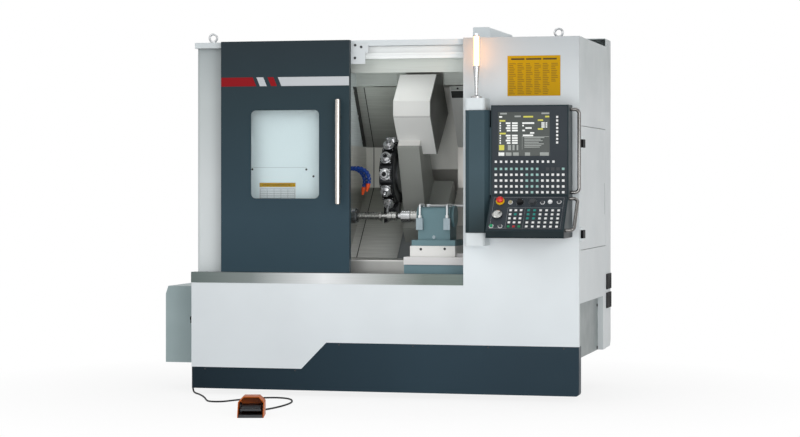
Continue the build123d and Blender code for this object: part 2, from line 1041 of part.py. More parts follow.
# Electrical cabinet across the back
cabinet_x0 = column_x0
cabinet_rear = rear_y + cabinet_depth
cabinet_top = body_height + cabinet_rise
with BuildPart() as electrical_cabinet:
    cabinet_outline = [
        (rear_y, side_bottom),
        (cabinet_rear - cabinet_rear_chamfer, side_bottom),
        (cabinet_rear, side_bottom + cabinet_rear_chamfer),
        (cabinet_rear, cabinet_top),
        (rear_y, cabinet_top),
    ]
    prism(across(cabinet_x0), cabinet_outline, x_right - cabinet_x0)
    fillet(electrical_cabinet.edges().filter_by(Axis.Y), radius=cabinet_edge)
    cabinet_mouth = electrical_cabinet.faces().sort_by(Axis.Y)[0]
    offset(amount=-cabinet_wall, openings=cabinet_mouth, kind=Kind.INTERSECTION)
    panel_width = (x_right - cabinet_x0 - 3 * cabinet_panel_inset) / 2
    for panel_number in range(2):
        panel_x = cabinet_x0 + cabinet_panel_inset + panel_number * (panel_width + cabinet_panel_inset)
        with BuildSketch(facing(cabinet_rear)) as panel_groove:
            with Locations((panel_x + panel_width / 2, (side_bottom + cabinet_top) / 2)):
                Rectangle(panel_width, cabinet_top - side_bottom - 2 * cabinet_panel_inset)
                Rectangle(
                    panel_width - 2 * cabinet_panel_groove,
                    cabinet_top - side_bottom - 2 * cabinet_panel_inset - 2 * cabinet_panel_groove,
                    mode=Mode.SUBTRACT,
                )
        extrude(panel_groove.sketch, amount=-cabinet_panel_groove_depth, mode=Mode.SUBTRACT)
save(electrical_cabinet, "electrical_cabinet")

# Two vents on the cabinet's side
vent_y0 = rear_y + (cabinet_depth - vent_width) / 2
with BuildPart() as vent_grilles:
    slat_pitch = (vent_height - 2 * vent_frame) / vent_slats
    for vent_bottom in vent_bottoms:
        block(x_right, x_right + vent_proud, vent_y0, vent_y0 + vent_width, vent_bottom, vent_bottom + vent_height)
        for slat in range(vent_slats):
            slot_z = vent_bottom + vent_frame + slat * slat_pitch
            block(
                x_right + vent_proud / 2,
                x_right + vent_proud + overrun,
                vent_y0 + vent_frame,
                vent_y0 + vent_width - vent_frame,
                slot_z,
                slot_z + slat_pitch * vent_slat_share,
                mode=Mode.SUBTRACT,
            )
save(vent_grilles, "vent_grilles")

# Lifting eyes on the roof
with BuildPart() as lifting_eyes:
    eye_xs = (x_left + eye_left_inset, x_right - eye_right_inset)
    eye_centre = roof_top + eye_collar_height + eye_ring_radius
    for eye_x in eye_xs:
        for eye_y in (behind(eye_front_setback), rear_y - eye_rear_inset):
            with BuildSketch(Plane.XY.offset(roof_top)) as collar:
                with Locations((eye_x, eye_y)):
                    Circle(eye_collar_radius)
            extrude(collar.sketch, amount=eye_collar_height)
            with Locations(Plane(origin=(eye_x, eye_y, eye_centre), x_dir=(1, 0, 0), z_dir=(0, 1, 0))):
                Torus(eye_ring_radius, eye_wire_radius)
save(lifting_eyes, "lifting_eyes")

# Headstock casting with the bore of the spindle
headstock_x0 = along(headstock_start)
headstock_x1 = wall_x - headstock_end_inset
with BuildPart() as headstock:
    with BuildSketch(across(headstock_x0)) as housing_round:
        with Locations((spindle_y, spindle_z)):
            Circle(headstock_radius)
    extrude(housing_round.sketch, amount=headstock_x1 - headstock_x0)
    headstock_foot = [
        (behind(headstock_foot_front), base_top),
        (behind(headstock_foot_rear), base_top),
        (behind(headstock_foot_rear), base_top + headstock_foot_height),
        (spindle_y + headstock_radius, spindle_z),
        (spindle_y - headstock_radius, spindle_z),
        (behind(headstock_foot_front), base_top + headstock_foot_height),
    ]
    prism(across(headstock_x0), headstock_foot, headstock_x1 - headstock_x0)
    with BuildSketch(across(headstock_x0)) as bore:
        with Locations((spindle_y, spindle_z)):
            Circle(spindle_radius + shaft_gap)
    extrude(bore.sketch, amount=headstock_x1 - headstock_x0, mode=Mode.SUBTRACT)
    relief_length = (headstock_x1 - headstock_x0) * headstock_relief_share
    relief_x = (headstock_x0 + headstock_x1 - relief_length) / 2
    with BuildSketch(across(relief_x)) as relief:
        with Locations((spindle_y, spindle_z)):
            Circle(headstock_relief_radius)
    extrude(relief.sketch, amount=relief_length, mode=Mode.SUBTRACT)
save(headstock, "headstock")

# Built-in spindle motor behind the headstock
motor_x0 = along(motor_start)
motor_length = headstock_x0 - motor_x0
with BuildPart() as spindle_motor:
    motor_steps = [(motor_x0, motor_radius)]
    fin_pitch = motor_length / (motor_fins + 1)
    for fin in range(motor_fins):
        fin_x = motor_x0 + (fin + 1) * fin_pitch - motor_fin_width / 2
        motor_steps += [
            (fin_x, motor_radius),
            (fin_x, motor_radius - motor_fin_depth),
            (fin_x + motor_fin_width, motor_radius - motor_fin_depth),
            (fin_x + motor_fin_width, motor_radius),
        ]
    motor_steps.append((headstock_x0, motor_radius))
    turned(spindle_line, motor_steps)
    block(
        motor_x0 + fin_pitch,
        motor_x0 + fin_pitch + motor_box_width,
        spindle_y - motor_box_width / 2,
        spindle_y + motor_box_width / 2,
        spindle_z + motor_radius - motor_box_height / 2,
        spindle_z + motor_radius + motor_box_height / 2,
    )
    with BuildSketch(across(motor_x0)) as motor_bore:
        with Locations((spindle_y, spindle_z)):
            Circle(spindle_radius + running_gap)
    extrude(motor_bore.sketch, amount=motor_length, mode=Mode.SUBTRACT)
save(spindle_motor, "spindle_motor")

# Spindle with its collet nose
nose_x = headstock_x1 + running_gap
cap_x0 = along(collet_cap_start)
cap_x1 = along(collet_cap_end)
with BuildPart() as spindle:
    spindle_steps = [
        (along(spindle_tail_start), spindle_tail_radius),
        (motor_x0 - running_gap, spindle_tail_radius),
        (motor_x0 - running_gap, spindle_radius),
        (nose_x, spindle_radius),
        (nose_x, nose_flange_radius),
        (nose_x + nose_flange_length, nose_flange_radius),
        (nose_x + nose_flange_length, nose_taper_radius),
        (cap_x0, nose_taper_radius),
        (cap_x0, collet_cap_radius),
        (cap_x1 - collet_notch, collet_cap_radius),
        (cap_x1, collet_cap_radius - collet_notch),
    ]
    turned(spindle_line, spindle_steps)
    with BuildSketch(across(along(spindle_tail_start))) as spindle_bore:
        with Locations((spindle_y, spindle_z)):
            Circle(stock_radius + shaft_gap)
    extrude(spindle_bore.sketch, amount=cap_x1 - along(spindle_tail_start), mode=Mode.SUBTRACT)
    with Locations(Plane(origin=(cap_x0, spindle_y, spindle_z), x_dir=(0, 1, 0), z_dir=(1, 0, 0))):
        with PolarLocations(collet_cap_radius, 6):
            Box(collet_notch, collet_notch, collet_notch * 2, mode=Mode.SUBTRACT)
save(spindle, "spindle")

# Threaded workpiece held in the collet
quill_x = along(quill_nose)
centre_x0 = quill_x - running_gap - centre_body_length
centre_slope = math.tan(math.radians(centre_half_angle))
centre_tip_x = centre_x0 - centre_neck_length - centre_neck_radius / centre_slope
with BuildPart() as workpiece:
    thread_x = cap_x1 + running_gap
    stock_steps = [(cap_x1 - stock_grip, stock_radius), (thread_x, stock_radius)]
    for turn in range(thread_turns):
        turn_x = thread_x + turn * thread_pitch
        stock_steps += [(turn_x, thread_root_radius), (turn_x + thread_pitch / 2, thread_radius)]
    thread_end = thread_x + thread_turns * thread_pitch
    ring_x0 = thread_end + collar_width + neck_length
    ring_x1 = ring_x0 + ring_width + ring_gap
    stock_end = ring_x1 + ring_width
    stock_steps += [
        (thread_end, thread_root_radius),
        (thread_end, collar_radius),
        (thread_end + collar_width, collar_radius),
        (thread_end + collar_width, neck_radius),
        (ring_x0, neck_radius),
        (ring_x0, ring_radius),
        (ring_x0 + ring_width, ring_radius),
        (ring_x0 + ring_width, neck_radius),
        (ring_x1, neck_radius),
        (ring_x1, ring_radius),
        (stock_end, ring_radius),
        (stock_end, (stock_end - centre_tip_x) * centre_slope + running_gap),
        (centre_tip_x - running_gap / centre_slope, 0),
    ]
    with BuildSketch(spindle_line) as stock_profile:
        with BuildLine():
            Polyline((stock_steps[0][0], 0), *stock_steps, close=True)
        make_face()
    revolve(stock_profile.sketch, axis=Axis(spindle_line.origin, spindle_line.x_dir))
save(workpiece, "workpiece")

# Saddle: a plate with grooves for the guide rails and a rib under each cover
saddle_x0 = along(saddle_start)
saddle_x1 = along(saddle_end)
with BuildPart() as saddle:
    saddle_outline = [
        (saddle_low, saddle_underside),
        (saddle_high, saddle_underside),
        (saddle_high, saddle_top),
        (saddle_low, saddle_top),
    ]
    prism(slope(saddle_x0), saddle_outline, saddle_x1 - saddle_x0)
    for guide_place in guide_places:
        groove_half = guide_width / 2 + running_gap
        groove_outline = [
            (guide_place - groove_half, 0),
            (guide_place + groove_half, 0),
            (guide_place + groove_half, guide_height + running_gap),
            (guide_place - groove_half, guide_height + running_gap),
        ]
        prism(slope(saddle_x0), groove_outline, saddle_x1 - saddle_x0, mode=Mode.SUBTRACT)
    rib_top = cover_height + cover_nest - cover_sheet
    rib_outline = [
        (saddle_low + guide_width, saddle_top),
        (saddle_high - guide_places[0], saddle_top),
        (saddle_high - guide_places[0], rib_top),
        (saddle_low + guide_width, rib_top),
    ]
    for rib_x in (saddle_x0, saddle_x1 - saddle_rib_width):
        prism(slope(rib_x), rib_outline, saddle_rib_width)
save(saddle, "saddle")

# Turret slide: the cross slide and the turret housing cast on it
slide_x0 = along(slide_start)
slide_x1 = along(slide_end)
housing_x0 = along(housing_start)
housing_x1 = along(housing_end)
slide_rear = from_slope(slide_high, slide_top)
slide_front = from_slope(slide_low + slide_top / 2, slide_top)
with BuildPart() as turret_slide:
    slide_outline = [
        (slide_low, saddle_top + running_gap),
        (slide_high, saddle_top + running_gap),
        (slide_high, slide_top),
        (slide_low, slide_top),
    ]
    prism(slope(slide_x0), slide_outline, slide_x1 - slide_x0)
    housing_outline = [
        by_turret(-housing_front_reach, housing_front_height),
        by_turret(-housing_top_reach, housing_top_height),
        by_turret(housing_rear_reach, housing_top_height),
        slide_rear,
        slide_front,
    ]
    with BuildSketch(across(housing_x0)) as housing_section:
        with BuildLine():
            Polyline(*housing_outline, close=True)
        make_face()
        fillet(housing_section.vertices().sort_by(Axis.X)[0], radius=housing_corner_radius)
    extrude(housing_section.sketch, amount=housing_x1 - housing_x0)
save(turret_slide, "turret_slide")

# Hood over the turret drive: a folded shell, open at the back, that stands round the housing
hood_x0 = along(hood_start)
hood_x1 = along(hood_end)
with BuildPart() as turret_hood:
    hood_outline = [
        by_turret(-hood_nose_reach, hood_nose_bottom),
        by_turret(-hood_nose_reach, hood_nose_top),
        by_turret(-hood_crown_reach, hood_crown_height),
        by_turret(hood_crown_depth - hood_crown_reach, hood_crown_height),
        by_turret(hood_rear_reach, hood_rear_height),
        by_turret(hood_heel_depth - hood_heel_reach, hood_heel_height),
        by_turret(-hood_heel_reach, hood_heel_height),
    ]
    prism(across(hood_x0), hood_outline, hood_x1 - hood_x0)
    hood_backs = turret_hood.faces().filter_by(lambda face: face.normal_at().Y > slant_sin / 2)
    offset(amount=-hood_sheet, openings=list(hood_backs), kind=Kind.INTERSECTION)
    with BuildSketch(across(hood_x0)) as housing_notch:
        with BuildLine():
            Polyline(*housing_outline, close=True)
        make_face()
        fillet(housing_notch.vertices().sort_by(Axis.X)[0], radius=housing_corner_radius)
    extrude(housing_notch.sketch, amount=housing_x1 - hood_x0, mode=Mode.SUBTRACT)
save(turret_hood, "turret_hood")

# Turret disc with a flat for each station
turret_x0 = along(turret_start)
turret_x1 = turret_x0 + turret_width
turret_plane = Plane(origin=(turret_x0, turret_y, turret_z), x_dir=(0, 1, 0), z_dir=(1, 0, 0))
station_step = 360 / turret_stations
with BuildPart() as turret_disc:
    with BuildSketch(turret_plane) as disc_outline:
        RegularPolygon(turret_flat_radius, turret_stations, major_radius=False, rotation=tool_station + station_step / 2)
    extrude(disc_outline.sketch, amount=turret_width)
    disc_rims = turret_disc.faces().filter_by(Axis.X).edges()
    chamfer(disc_rims, length=turret_edge)
    hub_steps = [
        (turret_x0 - turret_hub_length, turret_cap_radius),
        (turret_x0 - turret_hub_length / 2, turret_cap_radius),
        (turret_x0 - turret_hub_length / 2, turret_hub_radius),
        (turret_x0, turret_hub_radius),
        (turret_x1, turret_hub_radius),
        (turret_x1, turret_neck_radius),
        (housing_x0 - running_gap, turret_neck_radius),
    ]
    turned(turret_line, hub_steps)
    with BuildSketch(turret_plane) as bolt_holes:
        with PolarLocations(turret_bolt_circle, turret_bolts):
            Circle(turret_bolt_radius)
    extrude(bolt_holes.sketch, amount=turret_bolt_depth, mode=Mode.SUBTRACT)
save(turret_disc, "turret_disc")


def station_plane(angle):
    """A plane on a flat of the turret: x along the spindle, z out of the flat."""
    out = (0, math.cos(math.radians(angle)), math.sin(math.radians(angle)))
    flat = (
        (turret_x0 + turret_x1) / 2,
        turret_y + turret_flat_radius * out[1],
        turret_z + turret_flat_radius * out[2],
    )
    return Plane(origin=flat, x_dir=(1, 0, 0), z_dir=out)


# Tool holders: a square base, a round flange and a slotted collet nut with an open bore
holder_length = holder_reach - turret_flat_radius
nut_foot = holder_base_height + holder_flange_height
station_angles = [(tool_station + station * station_step) % 360 for station in range(turret_stations)]
with BuildPart() as tool_holders:
    for angle in station_angles:
        if angle == wedge_station:
            continue
        seat = station_plane(angle)
        with BuildSketch(seat) as holder_base_outline:
            Rectangle(holder_base, holder_base)
            chamfer(holder_base_outline.vertices(), length=holder_base_chamfer)
        extrude(holder_base_outline.sketch, amount=holder_base_height)
        nut_steps = [
            (holder_base_height, holder_flange_radius),
            (nut_foot, holder_flange_radius),
            (nut_foot, holder_nut_radius),
            (holder_length - holder_nut_chamfer, holder_nut_radius),
            (holder_length, holder_nut_radius - holder_nut_chamfer),
        ]
        turned(Plane(origin=seat.origin, x_dir=seat.z_dir, z_dir=seat.y_dir), nut_steps)
        with BuildSketch(seat.offset(holder_length)) as holder_bore:
            Circle(holder_bore_radius)
        extrude(holder_bore.sketch, amount=-holder_bore_depth, mode=Mode.SUBTRACT)
        with BuildSketch(seat.offset(holder_length)) as nut_slots:
            with PolarLocations(holder_nut_radius, holder_nut_slots):
                Rectangle(2 * holder_slot_depth, holder_slot_width)
        extrude(nut_slots.sketch, amount=-holder_slot_length, mode=Mode.SUBTRACT)
save(tool_holders, "tool_holders")

# Tools: boring bars, the drill aimed at the work and one wedge-shaped block
bore_foot = holder_length - holder_bore_depth
with BuildPart() as turning_tools:
    for angle in (*bar_stations, tool_station):
        seat = station_plane(angle)
        bar_line = Plane(origin=seat.origin, x_dir=seat.z_dir, z_dir=seat.y_dir)
        if angle == tool_station:
            tip = tool_reach - turret_flat_radius
            tool_steps = [(bore_foot, drill_radius), (tip - drill_point, drill_radius), (tip, drill_tip)]
        else:
            tip = bar_reach - turret_flat_radius
            tool_steps = [
                (bore_foot, bar_radius),
                (tip - bar_chamfer, bar_radius),
                (tip, bar_radius - bar_chamfer),
            ]
        turned(bar_line, tool_steps)
    wedge_seat = station_plane(wedge_station)
    wedge_plane = Plane(origin=wedge_seat.origin, x_dir=wedge_seat.x_dir, z_dir=wedge_seat.y_dir)
    wedge_outline = [
        (-tool_block_length / 2, 0),
        (tool_block_length / 2, 0),
        (tool_block_length / 2, turret_flat_radius - wedge_short_reach),
        (-tool_block_length / 2, turret_flat_radius - wedge_reach),
    ]
    with BuildSketch(wedge_plane.offset(-wedge_thickness / 2)) as wedge:
        with BuildLine():
            Polyline(*wedge_outline, close=True)
        make_face()
    extrude(wedge.sketch, amount=wedge_thickness)
save(turning_tools, "turning_tools")

# Tailstock bed with a ledge and two rails
tail_bed_x1 = x_right - base_right_inset - tail_bed_right_inset
tail_bed_y0 = behind(tray_setback)
tail_bed_y1 = behind(tail_bed_rear_setback)
with BuildPart() as tailstock_bed:
    ledge_z = tail_bed_top - tail_ledge_height
    tail_bed_outline = [
        (tail_bed_y0, base_top),
        (tail_bed_y1, base_top),
        (tail_bed_y1, tail_bed_top),
        (tail_bed_y0 - tail_ledge_reach, tail_bed_top),
        (tail_bed_y0 - tail_ledge_reach, ledge_z),
        (tail_bed_y0, ledge_z),
    ]
    prism(across(tail_bed_x0), tail_bed_outline, tail_bed_x1 - tail_bed_x0)
    for tail_rail_setback in tail_rail_setbacks:
        tail_rail_y = behind(tail_rail_setback)
        block(
            tail_bed_x0 + tail_rail_width,
            tail_bed_x1,
            tail_rail_y,
            tail_rail_y + tail_rail_width,
            tail_bed_top,
            tail_bed_top + tail_rail_height,
        )
save(tailstock_bed, "tailstock_bed")

# Tailstock body on its slide
body_x0 = along(tail_body_start)
body_x1 = along(tail_body_end)
with BuildPart() as tailstock_body:
    slide_bottom = tail_bed_top + running_gap
    tail_x0 = along(tail_slide_start)
    tail_x1 = along(tail_slide_end)
    block(tail_x0, tail_x1, behind(tail_slide_front), behind(tail_slide_rear), slide_bottom, tail_slide_top)
    for tail_rail_setback in tail_rail_setbacks:
        tail_rail_y = behind(tail_rail_setback)
        block(
            tail_x0,
            tail_x1,
            tail_rail_y - running_gap,
            tail_rail_y + tail_rail_width + running_gap,
            slide_bottom,
            tail_bed_top + tail_rail_height + running_gap,
            mode=Mode.SUBTRACT,
        )
    block(
        tail_x0 + tail_flange_inset,
        tail_x1 - tail_flange_inset,
        behind(tail_flange_front),
        behind(tail_flange_rear),
        tail_slide_top,
        tail_flange_top,
    )
    body_y0 = spindle_y - tail_body_half
    body_y1 = spindle_y + tail_body_half
    with BuildSketch(across(body_x0)) as body_section:
        with Locations(((body_y0 + body_y1) / 2, (tail_flange_top + tail_body_top) / 2)):
            Rectangle(body_y1 - body_y0, tail_body_top - tail_flange_top)
        fillet(body_section.vertices().group_by(Axis.Y)[-1], radius=tail_body_radius)
    extrude(body_section.sketch, amount=body_x1 - body_x0)
    for cap_x in (body_x0 - tail_cap_length, body_x1):
        with BuildSketch(across(cap_x)) as cap:
            with Locations((spindle_y, spindle_z)):
                Circle(tail_cap_radius)
        extrude(cap.sketch, amount=tail_cap_length)
    with BuildSketch(across(body_x0 - tail_cap_length)) as quill_hole:
        with Locations((spindle_y, spindle_z)):
            Circle(quill_radius + shaft_gap)
    extrude(quill_hole.sketch, amount=body_x1 - body_x0 + tail_cap_length, mode=Mode.SUBTRACT)
save(tailstock_body, "tailstock_body")

# Oil pipes over the tailstock and the sight gauge on its front
with BuildPart() as tailstock_pipes:
    pipe_y = body_y0 - pipe_stand
    pipe_z0 = tail_flange_top + pipe_block_rise + pipe_block_height
    pipe_z1 = tail_body_top + pipe_rise
    for pipe_x in (body_x0 + pipe_inset, body_x1 - pipe_inset):
        with BuildLine() as pipe_path:
            FilletPolyline(
                (pipe_x, pipe_y, pipe_z0),
                (pipe_x, pipe_y, pipe_z1),
                (pipe_x, spindle_y, pipe_z1),
                (pipe_x, spindle_y, tail_body_top),
                radius=pipe_bend,
            )
        with BuildSketch(Plane.XY.offset(pipe_z0)) as pipe_section:
            with Locations((pipe_x, pipe_y)):
                Circle(pipe_radius)
        sweep(pipe_section.sketch, path=pipe_path.line)
        block(
            pipe_x - pipe_block_width / 2,
            pipe_x + pipe_block_width / 2,
            body_y0 - pipe_block_depth,
            body_y0,
            pipe_z0 - pipe_block_height,
            pipe_z0,
        )
        with BuildSketch(Plane.XY.offset(pipe_z0)) as fitting:
            with Locations((pipe_x, pipe_y)):
                RegularPolygon(fitting_radius, 6)
        extrude(fitting.sketch, amount=fitting_length)
    with BuildSketch(facing(body_y0)) as gauge:
        with Locations(((body_x0 + body_x1) / 2, tail_flange_top + gauge_radius + gauge_depth)):
            Circle(gauge_radius)
    extrude(gauge.sketch, amount=gauge_depth, taper=gauge_taper)
save(tailstock_pipes, "tailstock_pipes")

# Quill and live centre
with BuildPart() as quill:
    turned(spindle_line, [(quill_x, quill_radius), (quill_x + quill_length, quill_radius)])
    with BuildSketch(across(quill_x)) as shank_hole:
        with Locations((spindle_y, spindle_z)):
            Circle(quill_bore + shaft_gap)
    extrude(shank_hole.sketch, amount=quill_bore_depth, mode=Mode.SUBTRACT)
    chamfer(quill.edges().filter_by(GeomType.CIRCLE).group_by(Axis.X)[0].sort_by(SortBy.RADIUS)[-1], length=sheet)
save(quill, "quill")

with BuildPart() as live_centre:
    centre_steps = [
        (centre_tip_x, 0),
        (centre_x0 - centre_neck_length, centre_neck_radius),
        (centre_x0, centre_neck_radius),
        (centre_x0, centre_body_radius),
        (quill_x - running_gap, centre_body_radius),
        (quill_x - running_gap, quill_bore),
        (quill_x + quill_bore_depth - running_gap, quill_bore),
        (quill_x + quill_bore_depth - running_gap, 0),
    ]
    with BuildSketch(spindle_line) as centre_profile:
        with BuildLine():
            Polyline(*centre_steps, close=True)
        make_face()
    revolve(centre_profile.sketch, axis=Axis(spindle_line.origin, spindle_line.x_dir))
save(live_centre, "live_centre")

# Segmented coolant hoses with their nozzles
with BuildPart() as coolant_hoses:
    for hose_setback, hose_reach, hose_drop in zip(hose_setbacks, hose_reaches, hose_drops):
        hose_y = behind(hose_setback)
        hose_plane = Plane(origin=(wall_face, hose_y, hose_start_height), x_dir=(1, 0, 0), z_dir=(0, -1, 0))
        bend = hose_drop * hose_bend_share
        turned(hose_plane, [(0, hose_fitting_radius), (hose_fitting_length, hose_fitting_radius)])
        with BuildLine(hose_plane, mode=Mode.PRIVATE) as hose_path:
            FilletPolyline(
                (hose_fitting_length, 0),
                (hose_reach, 0),
                (hose_reach - bend / 4, -hose_drop),
                radius=bend * hose_bend_share,
            )
        hose_line = hose_path.wires()[0]
        bead_count = int(hose_line.length / hose_bead_length)
        bead_step = hose_line.length / bead_count
        for bead in range(bead_count):
            start = hose_line.position_at((bead + hose_middle_share) / bead_count)
            heading = hose_line.tangent_at((bead + hose_middle_share) / bead_count)
            bead_plane = Plane(origin=start, x_dir=heading, z_dir=(0, -1, 0))
            bead_steps = [
                (-bead_step / 2, hose_neck_radius),
                (-bead_step / 4, hose_bead_radius),
                (bead_step / 4, hose_bead_radius),
                (bead_step / 2 + running_gap, hose_neck_radius),
            ]
            turned(bead_plane, bead_steps)
        tip_plane = Plane(origin=hose_line.position_at(1), x_dir=hose_line.tangent_at(1), z_dir=(0, -1, 0))
        turned(
            tip_plane,
            [
                (0, hose_bead_radius),
                (nozzle_length / 4, hose_bead_radius),
                (nozzle_length, nozzle_tip_radius),
            ],
        )
save(coolant_hoses, "coolant_hoses")

# Brackets on the front cover with the pin that the pendant swivels on
pendant_x = along(pendant_axis_place)
pendant_y = front_y - pendant_axis_setback
post_z0 = bottom_bracket_bottom + bottom_bracket_height
post_z1 = top_bracket_bottom
with BuildPart() as pendant_brackets:
    for bracket_bottom, bracket_height in (
        (bottom_bracket_bottom, bottom_bracket_height),
        (top_bracket_bottom, top_bracket_height),
    ):
        with BuildSketch(Plane.XY.offset(bracket_bottom)) as bracket:
            with Locations((pendant_x, (front_y + pendant_y - bracket_depth) / 2)):
                Rectangle(bracket_width, front_y - pendant_y + bracket_depth)
            fillet(bracket.vertices().group_by(Axis.Y)[0], radius=bracket_radius)
        extrude(bracket.sketch, amount=bracket_height)
    with BuildSketch(Plane.XY.offset(post_z0)) as pivot:
        with Locations((pendant_x, pendant_y)):
            Circle(pin_radius)
    extrude(pivot.sketch, amount=post_z1 - post_z0)
save(pendant_brackets, "pendant_brackets")

# Post that turns on the pin, with the neck that carries the housing
housing_x = pendant_x + housing_left
with BuildPart() as pendant_post:
    post_outline = [
        (pendant_x - post_left, pendant_y - post_front + post_chamfer),
        (pendant_x - post_left + post_chamfer, pendant_y - post_front),
        (pendant_x + post_right - post_chamfer, pendant_y - post_front),
        (pendant_x + post_right, pendant_y - post_front + post_chamfer),
        (pendant_x + post_right, pendant_y + post_back),
        (pendant_x - post_left, pendant_y + post_back),
    ]
    prism(Plane.XY.offset(post_z0 + running_gap), post_outline, post_z1 - post_z0 - 2 * running_gap)
    block(
        pendant_x + post_right,
        housing_x,
        pendant_y - post_neck_front,
        pendant_y + post_neck_back,
        keypad_bottom,
        post_z1 - post_neck_inset,
    )
    with BuildSketch(Plane.XY.offset(post_z0)) as pivot_hole:
        with Locations((pendant_x, pendant_y)):
            Circle(pin_radius + shaft_gap)
    extrude(pivot_hole.sketch, amount=post_z1 - post_z0, mode=Mode.SUBTRACT)
save(pendant_post, "pendant_post")

# Pendant housing: an upright face over a sloping desk
housing_face_y = front_y - housing_face_reach
housing_lip_y = front_y - pendant_reach
housing_back_y = front_y - housing_back_setback
with BuildPart() as pendant_housing:
    pendant_outline = [
        (housing_back_y, lip_bottom),
        (housing_back_y, housing_top),
        (housing_face_y, housing_top),
        (housing_face_y, keypad_bottom),
        (housing_lip_y, lip_top),
        (housing_lip_y, lip_bottom),
    ]
    prism(across(housing_x), pendant_outline, housing_width)
    fillet(pendant_housing.edges().filter_by(Axis.X).group_by(Axis.Z)[-1], radius=housing_edge)
    fillet(pendant_housing.edges().filter_by(Axis.X).group_by(Axis.Z)[0], radius=housing_edge)
save(pendant_housing, "pendant_housing")

# Desk frame: x to the right, y up the slope, z out of the desk
desk_run = housing_face_y - housing_lip_y
desk_rise = keypad_bottom - lip_top
desk_length = math.hypot(desk_run, desk_rise)
desk_plane = Plane(
    origin=(housing_x, housing_lip_y, lip_top),
    x_dir=(1, 0, 0),
    z_dir=(0, -desk_rise / desk_length, desk_run / desk_length),
)
face_plane = facing(housing_face_y)
display_x = housing_x + display_inset
display_width = housing_width - 2 * display_inset
display_z0 = keypad_bottom + display_inset
display_height = housing_top - display_inset - display_z0
screen_x = display_x + screen_left
screen_z = housing_top - screen_top_drop - screen_height
desk_x = desk_inset
desk_width = housing_width - 2 * desk_inset
desk_span = desk_length - 2 * desk_inset

# Plates on the upright face and on the desk
with BuildPart() as control_panels:
    with BuildSketch(face_plane) as display_plate:
        with Locations((display_x + display_width / 2, display_z0 + display_height / 2)):
            RectangleRounded(display_width, display_height, housing_edge)
        with Locations((screen_x + screen_width / 2, screen_z + screen_height / 2)):
            Rectangle(screen_width, screen_height, mode=Mode.SUBTRACT)
    extrude(display_plate.sketch, amount=display_proud)
    with BuildSketch(desk_plane) as desk_plate:
        with Locations((desk_x + desk_width / 2, desk_inset + desk_span / 2)):
            RectangleRounded(desk_width, desk_span, housing_edge)
    extrude(desk_plate.sketch, amount=desk_proud)
save(control_panels, "control_panels")

with BuildPart() as screen:
    with BuildSketch(face_plane) as screen_outline:
        with Locations((screen_x + screen_width / 2, screen_z + screen_height / 2)):
            Rectangle(screen_width, screen_height)
    extrude(screen_outline.sketch, amount=display_proud - screen_recess)
save(screen, "screen")


def desk_spot(shares):
    """A place on the desk plate given as shares of its width and span."""
    return (desk_x + desk_width * shares[0], desk_inset + desk_span * shares[1])


# Keys and fixed buttons, each a separate solid on its plate
desk_top = desk_plane.offset(desk_proud)
face_top = facing(housing_face_y - display_proud)
with BuildPart() as panel_keys:
    with BuildSketch(face_top) as face_keys:
        soft_x = display_x + display_width * soft_column_share
        for share in shares_between(soft_column_span_shares, soft_column_keys):
            with Locations((soft_x, screen_z + screen_height * share)):
                Rectangle(soft_key, soft_key)
        for share in shares_between(soft_row_span_shares, soft_row_keys):
            soft_z = keypad_top + (housing_top - keypad_top) * soft_row_share
            with Locations((display_x + display_width * share, soft_z)):
                Rectangle(soft_key, soft_key)
        for row_share in shares_between(mdi_row_shares, mdi_rows):
            for column, column_share in enumerate(shares_between(mdi_span_shares, mdi_columns)):
                if column in mdi_gap_columns:
                    continue
                mdi_z = keypad_bottom + (keypad_top - keypad_bottom) * row_share
                with Locations((display_x + display_width * column_share, mdi_z)):
                    Rectangle(mdi_key_width, mdi_key_height)
    extrude(face_keys.sketch, amount=key_height)
    with BuildSketch(desk_top) as desk_keys:
        for limits, columns in ((block_a_shares, block_a_columns), (block_b_shares, block_b_columns)):
            for column_share in shares_between(limits, columns):
                for row_share in shares_between(block_row_shares, block_rows):
                    with Locations(desk_spot((column_share, row_share))):
                        Rectangle(desk_key, desk_key)
    extrude(desk_keys.sketch, amount=key_height)
    with BuildSketch(desk_top) as round_buttons:
        for shares in round_button_shares:
            with Locations(desk_spot(shares)):
                Circle(round_button_radius)
    extrude(round_buttons.sketch, amount=round_button_height)
    knob_spot = desk_top.from_local_coords(Vector(*desk_spot(spindle_knob_shares), 0))
    fixed_knob = Plane(origin=knob_spot, x_dir=desk_plane.z_dir, z_dir=desk_plane.y_dir)
    turned(
        fixed_knob,
        [
            (0, knob_skirt_radius),
            (knob_skirt_height, knob_skirt_radius),
            (knob_skirt_height, knob_radius),
            (knob_height, knob_radius),
        ],
    )
    collar_spot = desk_top.from_local_coords(Vector(*desk_spot(estop_shares), 0))
    collar_axis = Plane(origin=collar_spot, x_dir=desk_plane.z_dir, z_dir=desk_plane.y_dir)
    turned(collar_axis, [(0, estop_collar_radius), (estop_collar_height, estop_collar_radius)])
    with BuildSketch(desk_top) as collar_bore:
        with Locations(desk_spot(estop_shares)):
            Circle(estop_stem_radius + running_gap)
    extrude(collar_bore.sketch, amount=estop_collar_height, mode=Mode.SUBTRACT)
save(panel_keys, "panel_keys")

# Emergency stop: a mushroom head on a stem that slides in the collar
with BuildPart() as estop_button:
    head_foot = estop_collar_height + estop_travel + running_gap
    turned(
        collar_axis,
        [
            (estop_travel + running_gap, estop_stem_radius),
            (head_foot, estop_stem_radius),
            (head_foot, estop_head_radius),
            (head_foot + estop_head_height / 2, estop_head_radius),
            (head_foot + estop_head_height, estop_head_radius / 2),
        ],
    )
save(estop_button, "estop_button")

